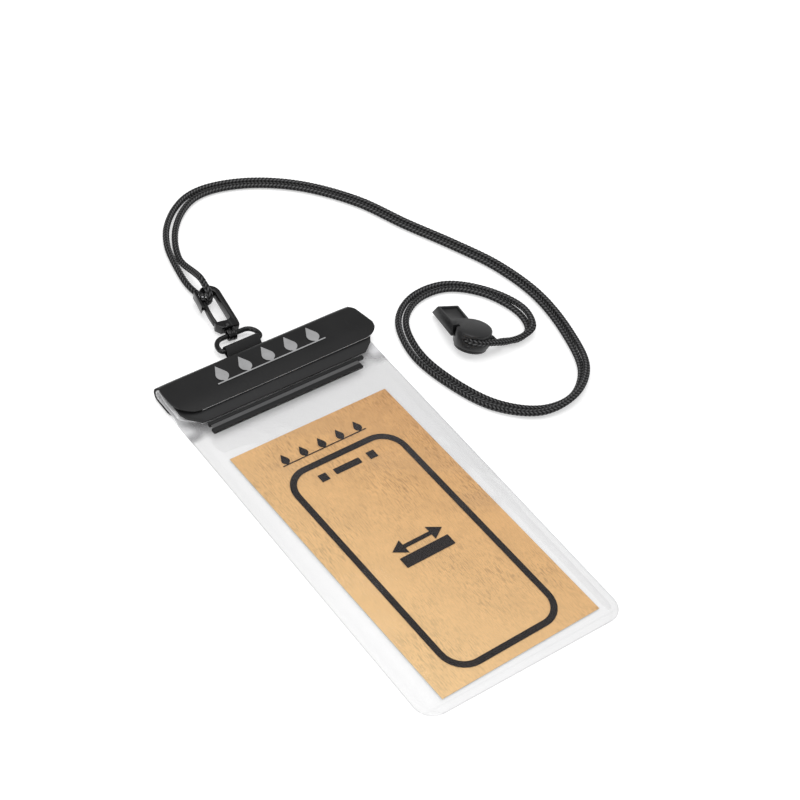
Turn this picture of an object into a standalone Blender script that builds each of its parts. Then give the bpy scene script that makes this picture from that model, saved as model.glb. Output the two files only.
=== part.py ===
"""Waterproof neck pouch, lying flat on its back with its mouth folded over and its lanyard laid beside it.

A clear film bag holds a kraft insert card. Its tapered neck turns once round a roll at the back edge and comes
forward over the bag, where a pair of press-zip strips closes the mouth. A black flap wraps the roll and is held
down by two hook-and-loop pads. A tab under the flap carries an oval ring, a swivel eye and a snap hook, and the
snap hook carries a doubled cord with a whistle at its far end.

Values are in millimetres and degrees until they are built. X runs across the pouch, Y from its bottom edge to its
roll, and Z up. The origin is the middle of the bag's underside.
"""
import math

import bmesh
import bpy
from mathutils import Matrix, Vector

MM = 0.001
GAP = 0.3                  # clearance between pieces that touch

# Bag film
BAG_WIDTH = 119.0
BAG_BOTTOM = -112.0        # y of the bottom edge
BAG_CORNER = 10.0
FILM = 0.4
SIDE_WELD = 4.2
BOTTOM_WELD = 4.2
MOUTH_WELD_TRIM = 1.5      # the side welds narrow at the mouth
CAVITY = 1.3               # height of the space round the card
NECK_CAVITY = 0.5
NECK_START = 61.0          # y where the body narrows to the neck
NECK_END = 67.0
SHOULDER = 0.9             # bevel of the film's raised field

# Insert card and its print
CARD_WIDTH = 95.0
CARD_LENGTH = 163.0
CARD_THICK = 0.3
CARD_CENTRE = (-0.4, -23.2)
CARD_TURN = 1.35
INK = 0.15
INK_GAP = 0.2
FRAME_WIDTH = 68.5         # printed phone outline
FRAME_LENGTH = 135.5
FRAME_CORNER = 14.0
FRAME_LINE = 3.4
FRAME_CENTRE = (-0.6, -8.4)
SPEAKER_SIZE = (15.5, 3.6)
SPEAKER_AT = (-0.8, FRAME_CENTRE[1] + FRAME_LENGTH / 2 - 10.35)
LABEL_SIZE = (29.0, 6.2)
LABEL_AT = (-0.5, -13.0)
ARROW_LENGTH = 30.0
ARROW_HEAD = 7.0
ARROW_LINE = 2.2
ARROW_AT = (-0.5, -5.0)
MARK_AT = (-3.0, FRAME_CENTRE[1] + FRAME_LENGTH / 2 + 8.15)
MARK_DROP = 4.3
MARK_PITCH = 11.0
MARK_LINE = 0.5
DROPS = 5

# Folded neck and closure
TAB_THICK = 0.7
FLAP_THICK = 0.8
PANEL_THICK = 0.7
PAD_THICK = 0.4
ROLL_RADIUS = 2.6          # outer radius of the film's turn
FOLD_Y = 112.0             # outermost y of the flap
FLAP_START = 95.0          # y where the flap's lower leaf begins
FLAP_LIP = 87.2
FLAP_OVERHANG = 0.3
FLAP_WIDTH = BAG_WIDTH + 2 * FLAP_OVERHANG
FLAP_LIP_DROP = 1.1
FLAP_CORNER_LEFT = 13.0
FLAP_CORNER_RIGHT = 7.0
FLAP_MARK_AT = (1.0, 101.6)
FLAP_MARK_PITCH = 14.0
FLAP_MARK_DROP = 6.8
FLAP_MARK_LINE = 0.7
RAMP_START = 88.5          # y where the bag climbs onto the flap's lower leaf
RAMP_END = 94.0
MOUTH_Y = 84.5
MOUTH_INSET = 9.0
MOUTH_WIDTH = BAG_WIDTH - 2 * MOUTH_INSET
MOUTH_CAVITY = 1.9
TAPER_Y = 91.5             # y where the neck's sides turn inward
PANEL_FRONT = 82.0
PANEL_BACK = 101.0
PANEL_INSET = 0.7
PANEL_WIDTH = BAG_WIDTH - 2 * PANEL_INSET
PAD_Y = (92.6, 99.4)
PAD_INSET = 8.8
PAD_WIDTH = PANEL_WIDTH - 2 * PAD_INSET
SKEW = 0.0297              # the neck is folded a little out of square
SKEW_START = 66.0

# Press-zip strips
ZIP_INSET = 3.8
ZIP_WIDTH = MOUTH_WIDTH - 2 * ZIP_INSET
ZIP_CENTRE = -0.6
ZIP_FRONT = 73.8
ZIP_LINES = (75.3, 80.3)
ZIP_TAPE = 0.5
ZIP_RIB = 0.7
ZIP_RIB_DEPTH = 1.45
ZIP_WALL = 0.6
ZIP_BEAD = 0.9             # radius of the raised bead over each rib
ZIP_TUCK = 3.0             # length of tape inside the mouth

# Tab, ring and swivel
TAB_WIDTH = 20.5
TAB_ROOT_WIDTH = 29.0
TAB_ROOT_Y = 98.0
TAB_AXIS = (-2.7, 118.2, 3.4)
TAB_TURN = 1.7             # square to the skewed fold
TAB_WELD = -5.6            # y from the hinge where the turned end meets the strip
TAB_FLARE = (-9.5, -4.5)   # y from the hinge where the strip narrows
TAB_CORNER = 1.5
RING_WIRE = 2.8
RING_LENGTH = 27.4         # outside, across
RING_REAR_CORNER = 5.6
RING_DEPTH = 11.2          # outside, along the pouch
TAB_BORE = RING_WIRE / 2 + 0.35

# Snap hook, in its own plane: u along its axis, v to its right, w up
HOOK_LEAN = 9.0
HOOK_TILT = 5.5
HOOK_OFFSET = -0.6         # the eye sits a little left of the ring's middle
HOOK_LENGTH = 29.4
HOOK_HALF = 6.2
CROWN_HALF = 5.8
CROWN_SHIFT = -0.5
HOOK_LIMB = 3.0
HOOK_THICK = 4.8
HOOK_FOOT = (-3.9, 5.9)    # v of the foot's corners
HOOK_CHEEK = 3.0           # u where its left side reaches its full width
HOOK_SEAT = 4.9            # u where the opening begins
SEAT_CORNER = 2.4
HOOK_JAW = 20.6            # u where the left shoulder ends
JAW_WIDTH = 2.2
HOOK_ROUND = 0.7
COLLAR_RADIUS = 3.2
COLLAR_LENGTH = 4.5
COLLAR_LIP = 1.5
EYE_WIDTH = 4.4
EYE_WALL = 0.9
EYE_GROOVE = (0.45, 0.5)   # half width and depth
EYE_BORE = RING_WIRE / 2 + GAP + EYE_WIDTH / 2 * math.tan(math.radians(HOOK_LEAN + TAB_TURN))
EYE_RADIUS = EYE_BORE + EYE_WALL
STEM_RADIUS = 1.4
STEM_HEAD_RADIUS = 2.2
STEM_HEAD = 1.2
PIVOT = (22.9, -5.0)
KNUCKLE = 1.7
PIN_RADIUS = 0.6
GATE_ARM = 2.0
GATE_BOW = 0.5
GATE_THICK = 3.4
KNUCKLE_THICK = 2.0
THUMB_PLATE = 1.3
THUMB_OUTER = -8.1
THUMB = (16.4, 28.0)       # u of the thumb plate's ends
THUMB_WEB = (17.0, 19.8)

# Whistle, on the flat side of its drum, tipped onto the end of its mouthpiece
WHISTLE_AT = (102.7, 62.0, 2.5)
WHISTLE_LEAN = 14.5
WHISTLE_TOWARD = 44.0      # direction in which the drum leans, from +X
WHISTLE_YAW = -16.0
DRUM_RADIUS = 9.7
DRUM_TOP = 11.2
DRUM_ROUND = 0.8
COVER_RADIUS = 8.8
COVER_THICK = 1.4
COVER_PLUG = 1.2
CHAMBER_RADIUS = 7.4
CHAMBER_TOP = 4.3
MOUTHPIECE_X = (-10.8, 1.3)
MOUTHPIECE_ROOT = 3.0
MOUTHPIECE_END = 28.0
MOUTHPIECE_SLOPE = 4.8
MOUTHPIECE_Z = (4.6, 11.0)
MOUTHPIECE_ROUND = 0.5
WINDOW_Y = (1.5, 3.6)
WINDOW_DEPTH = 3.6
WINDWAY_WIDTH = 1.6

# Lanyard: one cord whose two runs lie side by side
CORD = 3.5
CORD_CHANNEL = CORD / 2 + 0.4
CHANNEL_STEP = 1.6
# Middle of the two runs: x, y, how far apart they lie and how far the outer run rides up on the inner one
LANYARD_ROUTE = (
    (2.9, 189.5, 3.7, 0.0), (6.4, 199.5, 4.4, 0.0), (13.5, 211.2, 4.8, 0.0), (24.7, 222.0, 4.6, 0.0),
    (37.1, 228.6, 4.2, 0.0), (51.3, 230.0, 3.8, 0.0), (74.0, 224.1, 3.8, 0.0), (97.4, 209.4, 3.8, 0.0),
    (118.4, 184.4, 3.8, 0.0), (131.5, 156.2, 3.8, 0.0), (145.2, 129.8, 3.8, 0.0), (156.0, 105.0, 3.8, 0.0),
    (161.0, 76.0, 3.8, 0.0), (156.8, 45.6, 4.0, 0.0), (145.0, 18.8, 2.4, 2.9), (126.8, 6.6, 1.9, 3.2),
    (106.0, 7.4, 3.6, 1.2), (87.5, 22.5, 3.9, 0.0), (76.6, 48.8, 4.1, 0.0), (74.3, 72.3, 4.4, 0.0),
    (82.5, 94.5, 4.0, 0.0), (98.9, 105.2, 3.8, 0.0), (120.0, 104.8, 3.8, 0.0), (137.0, 91.0, 3.9, 0.0),
    (143.9, 69.4, 2.6, 2.7), (139.6, 56.6, 2.0, 3.1), (130.2, 53.4, 1.9, 3.2),
)
# Outer run up to the whistle's drum
WHISTLE_IN = ((121.5, 52.2, 6.2), (115.5, 52.0, 7.9), (108.9, 52.8, 9.8), (103.2, 53.7, 11.1))
# Through the drum and round the post in it, in the leaning drum's own frame
WHISTLE_PASS = (
    (-5.2, -8.0, 7.4), (-7.0, -4.4, 7.3), (-6.6, -0.4, 7.2), (-3.2, 2.2, 7.1), (1.2, 2.0, 7.0), (4.8, -0.9, 6.9),
    (7.2, -5.2, 6.8),
)
# From the drum down to the inner run
WHISTLE_OUT = ((114.2, 55.6, 5.6), (119.5, 56.3, 3.0))
WHISTLE_JOIN = 8           # the cord's two ends meet inside the drum, before this point of the turn
# Inner run from the first route point up towards the hook
OVER_RUN = ((3.6, 183.5, 3.0), (3.1, 177.0, 5.0), (2.4, 171.0, 7.4))
# Over the crown, down through the hook and back under it: u, v, w
HOOK_TURN = (
    (31.8, -2.2, 5.4), (28.2, -1.8, 4.9), (25.0, -1.4, 4.5), (22.8, -1.2, 2.7), (22.2, -1.1, 0.0),
    (22.8, -1.4, -2.6), (25.0, -2.0, -4.22), (29.5, -3.1, -4.55),
)
# Under the hook and back to the outer run
UNDER_RUN = ((-2.4, 167.0, 2.1), (-2.2, 172.5, 2.0), (-1.1, 179.5, 2.0))
CORD_STEP = 34.0
CORD_SHORT_STEP = 5.0      # where the cord is higher than CORD_RAISED
CORD_RAISED = 5.5
CORD_BEND = 27.0           # degrees of turn that take a point of their own
CORD_CLEAR = 0.2           # between the cord and the floor


def mm(point):
    """A point in metres from one in millimetres."""
    return Vector(point) * MM


def empty_scene():
    """Remove every object, then make the two collections."""
    for old in list(bpy.data.objects):
        bpy.data.objects.remove(old, do_unlink=True)
    groups = []
    for title in ("waterproof_neck_pouch", "cutters"):
        group = bpy.data.collections.new(title)
        bpy.context.scene.collection.children.link(group)
        groups.append(group)
    return groups


PARTS, CUTTERS = empty_scene()

# Stands a profile drawn as y, z so that it runs along X
PROFILE_TURN = Matrix(((0.0, 0.0, 1.0, 0.0), (1.0, 0.0, 0.0, 0.0), (0.0, 1.0, 0.0, 0.0), (0.0, 0.0, 0.0, 1.0)))
# Turns a bar's own Z onto the hook's axis
LIE_ALONG = Matrix.Rotation(math.radians(-90.0), 4, "X")


def finish(title, colour, roughness, metallic=0.0, alpha=1.0):
    """A Principled material."""
    made = bpy.data.materials.new(title)
    made.use_nodes = True
    shader = made.node_tree.nodes["Principled BSDF"]
    shader.inputs["Base Color"].default_value = (*colour, 1.0)
    shader.inputs["Roughness"].default_value = roughness
    shader.inputs["Metallic"].default_value = metallic
    shader.inputs["Alpha"].default_value = alpha
    return made


def add_object(title, data, group=PARTS, place=None):
    """An object in one of the two collections."""
    made = bpy.data.objects.new(title, data)
    group.objects.link(made)
    if place is not None:
        made.matrix_world = place
    if group is CUTTERS:
        made.hide_render = True
        made.display_type = "WIRE"
    return made


def dress(made, colour, roughness, metallic=0.0, alpha=1.0, smooth=None):
    """Give a part its own material, and smooth shading up to an angle where it is round."""
    made.data.materials.clear()
    made.data.materials.append(finish(made.name, colour, roughness, metallic, alpha))
    if smooth is not None:
        made.data.shade_smooth()
        made.data.set_sharp_from_angle(angle=math.radians(smooth))
    return made


def as_mesh(made, group=PARTS):
    """Turn a curve into a welded mesh object, keeping its name and its place."""
    title = made.name
    place = made.matrix_world.copy()
    bpy.context.view_layer.update()
    mesh = bpy.data.meshes.new_from_object(made.evaluated_get(bpy.context.evaluated_depsgraph_get()))
    bpy.data.objects.remove(made, do_unlink=True)
    shape = bmesh.new()
    shape.from_mesh(mesh)
    bmesh.ops.remove_doubles(shape, verts=shape.verts, dist=0.00001)
    bmesh.ops.recalc_face_normals(shape, faces=shape.faces)
    shape.to_mesh(mesh)
    shape.free()
    return add_object(title, mesh, group, place)


def plate(title, outlines, low, high, group=PARTS, place=None):
    """A flat piece cut to one outline, with any further outlines as holes, between two heights."""
    curve = bpy.data.curves.new(title, "CURVE")
    curve.dimensions = "2D"
    curve.fill_mode = "BOTH"
    curve.extrude = (high - low) / 2 * MM
    for outline in outlines:
        spline = curve.splines.new("POLY")
        spline.points.add(len(outline) - 1)
        for knot, (x, y) in zip(spline.points, outline):
            knot.co = (x * MM, y * MM, 0.0, 1.0)
        spline.use_cyclic_u = True
    made = as_mesh(add_object(title, curve, group), group)
    made.data.transform(Matrix.Translation((0.0, 0.0, (low + high) / 2 * MM)))
    if place is not None:
        made.data.transform(place)
    return made


def tube(title, points, radius, group=PARTS, closed=False, sides=2):
    """A round wire through points in millimetres."""
    curve = bpy.data.curves.new(title, "CURVE")
    curve.dimensions = "3D"
    curve.bevel_depth = radius * MM
    curve.bevel_resolution = sides
    curve.use_fill_caps = not closed
    spline = curve.splines.new("POLY")
    spline.points.add(len(points) - 1)
    for knot, point in zip(spline.points, points):
        knot.co = (*mm(point), 1.0)
    spline.use_cyclic_u = closed
    return add_object(title, curve, group)


def drum(title, radius, low, high, group=PARTS, place=None, sides=40):
    """A round bar along its own Z between two heights."""
    shape = bmesh.new()
    bmesh.ops.create_cone(shape, cap_ends=True, segments=sides, radius1=radius * MM, radius2=radius * MM,
                          depth=(high - low) * MM)
    bmesh.ops.translate(shape, verts=shape.verts, vec=(0.0, 0.0, (low + high) / 2 * MM))
    mesh = bpy.data.meshes.new(title)
    shape.to_mesh(mesh)
    shape.free()
    if place is not None:
        mesh.transform(place)
    return add_object(title, mesh, group)


def block(title, low, high, group=PARTS, place=None):
    """A box between two corners."""
    shape = bmesh.new()
    bmesh.ops.create_cube(shape, size=1.0)
    size = [(b - a) * MM for a, b in zip(low, high)]
    middle = [(a + b) / 2 * MM for a, b in zip(low, high)]
    bmesh.ops.scale(shape, vec=size, verts=shape.verts)
    bmesh.ops.translate(shape, vec=middle, verts=shape.verts)
    mesh = bpy.data.meshes.new(title)
    shape.to_mesh(mesh)
    shape.free()
    if place is not None:
        mesh.transform(place)
    return add_object(title, mesh, group)


def combine(target, other, operation="DIFFERENCE"):
    """Cut, join or intersect with another object by a Boolean modifier."""
    step = target.modifiers.new(operation.lower(), "BOOLEAN")
    step.operation = operation
    step.solver = "EXACT"
    step.object = other


def soften(target, width, segments=2, angle=40.0):
    """Round the sharp edges with a Bevel modifier."""
    step = target.modifiers.new("rounded_edges", "BEVEL")
    step.width = width * MM
    step.segments = segments
    step.limit_method = "ANGLE"
    step.angle_limit = math.radians(angle)
    step.harden_normals = False


def settle(target):
    """Apply the modifiers, so that the mesh can be bent."""
    bpy.context.view_layer.update()
    mesh = bpy.data.meshes.new_from_object(target.evaluated_get(bpy.context.evaluated_depsgraph_get()))
    target.modifiers.clear()
    target.data = mesh


def arc(centre, radius, start, end, steps=8):
    """Points on an arc, from one angle to another in degrees."""
    angles = [math.radians(start + (end - start) * i / steps) for i in range(steps + 1)]
    return [(centre[0] + radius * math.cos(t), centre[1] + radius * math.sin(t)) for t in angles]


def rounded_box(width, length, radius, centre=(0.0, 0.0), steps=8):
    """A rounded rectangle, counter-clockwise."""
    w, l = width / 2 - radius, length / 2 - radius
    points = []
    for sx, sy, start in ((1, -1, -90), (1, 1, 0), (-1, 1, 90), (-1, -1, 180)):
        points += arc((centre[0] + sx * w, centre[1] + sy * l), radius, start, start + 90, steps)
    return points


def smooth_step(t):
    """Ease from 0 to 1."""
    t = min(1.0, max(0.0, t))
    return t * t * (3 - 2 * t)


class SheetPath:
    """The outer face of a bent sheet in the YZ plane, read by its arc length."""

    def __init__(self, points):
        self.points = points
        self.lengths = [0.0]
        for a, b in zip(points, points[1:]):
            self.lengths.append(self.lengths[-1] + math.dist(a, b))

    def length_at(self, y, after_turn=False):
        """Arc length where the path crosses y, on its lower run or on the run after its turn."""
        turn = max(range(len(self.points)), key=lambda i: self.points[i][0])
        span = range(turn, len(self.points) - 1) if after_turn else range(turn)
        for i in span:
            a, b = self.points[i][0], self.points[i + 1][0]
            if min(a, b) <= y <= max(a, b) and a != b:
                return self.lengths[i] + (y - a) / (b - a) * (self.lengths[i + 1] - self.lengths[i])
        return self.lengths[-1] if after_turn else self.lengths[0]

    def at(self, s):
        """Point and inward normal at an arc length; the ends run on straight."""
        last = len(self.points) - 2
        i = last
        for k in range(last + 1):
            if s <= self.lengths[k + 1]:
                i = k
                break
        (y0, z0), (y1, z1) = self.points[i], self.points[i + 1]
        span = self.lengths[i + 1] - self.lengths[i]
        t = (s - self.lengths[i]) / span
        return (y0 + (y1 - y0) * t, z0 + (z1 - z0) * t), self.normal(i, t)

    def normal(self, i, t):
        """Inward normal, turned smoothly from one point of the path to the next."""
        def corner(k):
            before = self.points[max(0, k - 1)]
            after = self.points[min(len(self.points) - 1, k + 1)]
            dy, dz = after[0] - before[0], after[1] - before[1]
            size = math.hypot(dy, dz)
            return -dz / size, dy / size
        a, b = corner(i), corner(i + 1)
        ny, nz = a[0] + (b[0] - a[0]) * t, a[1] + (b[1] - a[1]) * t
        size = math.hypot(ny, nz)
        return ny / size, nz / size


def skewed(x, y):
    """Shift y with x, as the neck lies a little out of square."""
    return y + SKEW * x * smooth_step((y - SKEW_START) / (RAMP_START - SKEW_START))


def bend(target, path, stations, depth=None):
    """Wrap a flat sheet along a path: its X stays, its Y is arc length and its Z is depth below the outer face."""
    mesh = target.data
    shape = bmesh.new()
    shape.from_mesh(mesh)
    for s in stations:
        everything = shape.verts[:] + shape.edges[:] + shape.faces[:]
        bmesh.ops.bisect_plane(shape, geom=everything, dist=0.000001, plane_co=(0.0, s * MM, 0.0),
                               plane_no=(0.0, 1.0, 0.0))
    for vert in shape.verts:
        x, s, h = (value / MM for value in vert.co)
        if depth is not None:
            h = depth(s, h)
        (y, z), (ny, nz) = path.at(s)
        y, z = y + ny * h, z + nz * h
        vert.co = mm((x, skewed(x, y), z))
    bmesh.ops.triangulate(shape, faces=[face for face in shape.faces if len(face.verts) > 4])
    shape.to_mesh(mesh)
    shape.free()


# Heights of the folded stack, from the floor up
LEAF_LOW = TAB_THICK + GAP
FILM_LOW = LEAF_LOW + FLAP_THICK + GAP
NECK_THICK = 2 * FILM + NECK_CAVITY
BODY_THICK = 2 * FILM + CAVITY
MOUTH_THICK = 2 * FILM + MOUTH_CAVITY
ROLL_TOP = FILM_LOW + 2 * ROLL_RADIUS
NECK_TOP = FILM_LOW + 2 * NECK_THICK + 0.6
PANEL_LOW = NECK_TOP + GAP
LOOP_LOW = PANEL_LOW + PANEL_THICK + GAP
HOOK_LOW = LOOP_LOW + PAD_THICK + GAP
FLAP_LOW = HOOK_LOW + PAD_THICK + GAP
FLAP_TOP = FLAP_LOW + FLAP_THICK
MOUTH_TOP = NECK_THICK + GAP + MOUTH_THICK
FLAP_TURN = (FLAP_TOP - LEAF_LOW) / 2
ROLL_Y = FOLD_Y - FLAP_THICK - GAP - ROLL_RADIUS - 0.25


def film_path():
    """Back face of the bag, from its bottom edge round the roll to its mouth."""
    points = [(BAG_BOTTOM, 0.0), (NECK_START, 0.0), (NECK_END, 0.0), (RAMP_START, 0.0)]
    for i in range(1, 7):
        t = i / 6
        points.append((RAMP_START + (RAMP_END - RAMP_START) * t, FILM_LOW * smooth_step(t)))
    points.append((ROLL_Y - 4.0, FILM_LOW))
    turn = arc((ROLL_Y, FILM_LOW + ROLL_RADIUS), ROLL_RADIUS, -90, 90, 12)
    points += turn
    for i in range(1, 7):
        t = i / 6
        points.append((ROLL_Y - 7.5 * t, ROLL_TOP + (NECK_TOP - ROLL_TOP) * smooth_step(t)))
    points.append((RAMP_END, NECK_TOP))
    for i in range(1, 5):
        t = i / 4
        points.append((RAMP_END + (RAMP_START - RAMP_END) * t, NECK_TOP + (MOUTH_TOP - NECK_TOP) * smooth_step(t)))
    points.append((PANEL_FRONT, MOUTH_TOP))
    return SheetPath(points)


def flap_path():
    """Outer face of the flap, from its lower leaf round the fold to its lip."""
    middle = FOLD_Y - FLAP_TURN
    points = [(FLAP_START, LEAF_LOW), (middle - 3.0, LEAF_LOW)]
    points += arc((middle, LEAF_LOW + FLAP_TURN), FLAP_TURN, -90, 90, 14)
    points.append((PAD_Y[1], FLAP_TOP))
    for i in range(1, 6):
        t = i / 5
        points.append((PAD_Y[1] + (FLAP_LIP - PAD_Y[1]) * t, FLAP_TOP - FLAP_LIP_DROP * t * t * t))
    return SheetPath(points)


FILM_PATH = film_path()
FLAP_PATH = flap_path()
MOUTH_S = FILM_PATH.length_at(MOUTH_Y, after_turn=True)
TAPER_S = FILM_PATH.length_at(TAPER_Y, after_turn=True)
NECK_SLOPE = (BAG_WIDTH - MOUTH_WIDTH) / 2 / (MOUTH_S - TAPER_S)


def film_outline(inset, bottom, end):
    """Half-symmetric outline of the bag in the flat, set in from its sides."""
    half = BAG_WIDTH / 2 - inset
    front = MOUTH_WIDTH / 2 - inset + MOUTH_WELD_TRIM * (inset > 0) - NECK_SLOPE * (end - MOUTH_S)
    radius = max(1.0, BAG_CORNER - inset)
    points = arc((-half + radius, bottom + radius), radius, 180, 270, 8)
    points += arc((half - radius, bottom + radius), radius, 270, 360, 8)
    points += [(half, TAPER_S), (front, end), (-front, end), (-half, TAPER_S)]
    return points


def film_depth(s, h):
    """Depth below the back face, with the hollow narrowed in the neck and widened at the mouth."""
    neck = smooth_step((s - FILM_PATH.length_at(NECK_START)) / (NECK_END - NECK_START))
    mouth = smooth_step((s - (MOUTH_S - ZIP_TUCK - 3.5)) / 3.0)
    total = BODY_THICK + (NECK_THICK - BODY_THICK) * neck + (MOUTH_THICK - NECK_THICK) * mouth
    levels = (0.0, FILM, 2 * FILM, BODY_THICK - FILM, BODY_THICK)
    places = (0.0, FILM, 2 * FILM, total - FILM, total)
    for a, b, p, q in zip(levels, levels[1:], places, places[1:]):
        if h <= b:
            return p + (q - p) * (h - a) / (b - a)
    return total + h - BODY_THICK


def bend_stations(path, first, last):
    """Arc lengths where a sheet gets an edge so that it can bend."""
    return [s for s in path.lengths if first + 0.05 < s < last - 0.05]


def build_bag():
    """Two films welded round three sides, with the hollow open at the mouth."""
    bag = plate("clear_bag", [film_outline(0.0, 0.0, MOUTH_S)], 0.0, 2 * FILM)
    field = plate("bag_field", [film_outline(SIDE_WELD - 1.2, BOTTOM_WELD - 1.2, MOUTH_S)], FILM, BODY_THICK,
                  CUTTERS)
    soften(field, SHOULDER, 1, 60.0)
    hollow = plate("bag_hollow", [film_outline(SIDE_WELD, BOTTOM_WELD, MOUTH_S + 1.0)], FILM, BODY_THICK - FILM,
                   CUTTERS)
    combine(bag, field, "UNION")
    combine(bag, hollow)
    settle(bag)
    extra = [FILM_PATH.length_at(NECK_START) + (NECK_END - NECK_START) * i / 4 for i in range(5)]
    extra += [MOUTH_S - ZIP_TUCK - 3.5 + i for i in range(4)]
    stations = bend_stations(FILM_PATH, 1.0, MOUTH_S) + extra
    bend(bag, FILM_PATH, stations, film_depth)
    return dress(bag, (0.9, 0.9, 0.92), 0.12, alpha=0.35)


def card_place():
    """Place of the card in the bag."""
    return Matrix.Translation(mm((*CARD_CENTRE, 0.0))) @ Matrix.Rotation(math.radians(CARD_TURN), 4, "Z")


CARD_LOW = FILM + GAP
INK_LOW = CARD_LOW + CARD_THICK + INK_GAP


def printed(title, outlines, colour=(0.035, 0.03, 0.028)):
    """A field of ink on the card."""
    made = plate(title, outlines, INK_LOW, INK_LOW + INK, place=card_place())
    return dress(made, colour, 0.6)


def drop_row(centre, count, pitch, radius, line):
    """Outline of a row of plain drops that stand on one thin line."""
    count = round(count)
    x0, y0 = centre[0] - pitch * (count - 1) / 2, centre[1]
    foot = y0 - radius * 1.35
    reach = pitch * (count - 1) / 2 + radius * 1.5
    points = [(centre[0] - reach, foot - line), (centre[0] + reach, foot - line), (centre[0] + reach, foot)]
    for i in reversed(range(count)):
        x = x0 + pitch * i
        points += [(x + radius * 0.25, foot)]
        points += arc((x, y0 - radius * 0.25), radius, -65, 25, 6)
        points += [(x, y0 + radius * 1.75)]
        points += arc((x, y0 - radius * 0.25), radius, 155, 245, 6)
        points += [(x - radius * 0.25, foot)]
    points.append((centre[0] - reach, foot))
    return points


def build_card():
    """The kraft card and the plain shapes printed on it."""
    card = plate("insert_card", [rounded_box(CARD_WIDTH, CARD_LENGTH, 0.6, steps=2)], CARD_LOW,
                 CARD_LOW + CARD_THICK, place=card_place())
    dress(card, (0.62, 0.38, 0.19), 0.75)
    outer = rounded_box(FRAME_WIDTH, FRAME_LENGTH, FRAME_CORNER, FRAME_CENTRE)
    inner = rounded_box(FRAME_WIDTH - 2 * FRAME_LINE, FRAME_LENGTH - 2 * FRAME_LINE, FRAME_CORNER - FRAME_LINE,
                        FRAME_CENTRE)
    printed("card_phone_outline", [outer, inner])
    printed("card_speaker_bar", [rounded_box(*SPEAKER_SIZE, 0.4, SPEAKER_AT, 2)])
    printed("card_label_bar", [rounded_box(*LABEL_SIZE, 0.3, LABEL_AT, 2)])
    half, tip, line = ARROW_LENGTH / 2, ARROW_HEAD, ARROW_LINE / 2
    x, y = ARROW_AT
    arrow = [(-half, 0), (-half + tip, -tip * 0.6), (-half + tip, -line), (half - tip, -line),
             (half - tip, -tip * 0.6), (half, 0), (half - tip, tip * 0.6), (half - tip, line),
             (-half + tip, line), (-half + tip, tip * 0.6)]
    printed("card_size_arrow", [[(x + a, y + b) for a, b in arrow]])
    printed("card_drop_mark", [drop_row(MARK_AT, DROPS, MARK_PITCH, MARK_DROP / 2, MARK_LINE)])


def build_neck():
    """The black panel on the folded neck, and the two closure pads above it."""
    back = FILM_PATH.length_at(PANEL_BACK, after_turn=True)
    front = FILM_PATH.length_at(PANEL_FRONT, after_turn=True)
    half = PANEL_WIDTH / 2
    edge = half - NECK_SLOPE * (front - TAPER_S)
    outline = [(half, back), (half, TAPER_S), (edge, front), (-edge, front), (-half, TAPER_S), (-half, back)]
    panel = plate("neck_panel", [outline], -GAP - PANEL_THICK, -GAP)
    bend(panel, FILM_PATH, bend_stations(FILM_PATH, back, front))
    dress(panel, (0.045, 0.045, 0.047), 0.5)
    pads = (("loop_patch", LOOP_LOW), ("hook_patch", HOOK_LOW))
    for title, low in pads:
        half = PAD_WIDTH / 2
        corners = [(-half, PAD_Y[0]), (half, PAD_Y[0]), (half, PAD_Y[1]), (-half, PAD_Y[1])]
        outline = [(x, skewed(x, y)) for x, y in corners]
        dress(plate(title, [outline], low, low + PAD_THICK), (0.02, 0.02, 0.02), 0.9)


def build_flap():
    """The flap and the row of drops printed on its top."""
    start = 0.0
    lip = FLAP_PATH.lengths[-1]
    half = FLAP_WIDTH / 2
    outline = [(-half, start), (half, start)]
    outline += arc((half - FLAP_CORNER_RIGHT, lip - FLAP_CORNER_RIGHT), FLAP_CORNER_RIGHT, 0, 90, 8)
    outline += arc((-half + FLAP_CORNER_LEFT, lip - FLAP_CORNER_LEFT), FLAP_CORNER_LEFT, 90, 180, 10)
    flap = plate("closure_flap", [outline], 0.0, FLAP_THICK)
    bend(flap, FLAP_PATH, bend_stations(FLAP_PATH, start, lip))
    dress(flap, (0.028, 0.028, 0.029), 0.45)
    row = drop_row(FLAP_MARK_AT, DROPS, FLAP_MARK_PITCH, FLAP_MARK_DROP / 2, FLAP_MARK_LINE)
    mark = plate("flap_drop_mark", [[(x, skewed(x, y)) for x, y in row]], FLAP_TOP + INK_GAP,
                 FLAP_TOP + INK_GAP + INK)
    dress(mark, (0.38, 0.38, 0.38), 0.5)


def strip(title, profile, colour):
    """A zip strip: one profile in the YZ plane, run across the mouth."""
    half = ZIP_WIDTH / 2
    made = plate(title, [profile], -half, half)
    made.data.transform(PROFILE_TURN)
    for vert in made.data.vertices:
        x, y, z = (value / MM for value in vert.co)
        vert.co = mm((x + ZIP_CENTRE, skewed(x, y), z))
    return dress(made, colour, 0.42)


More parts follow.
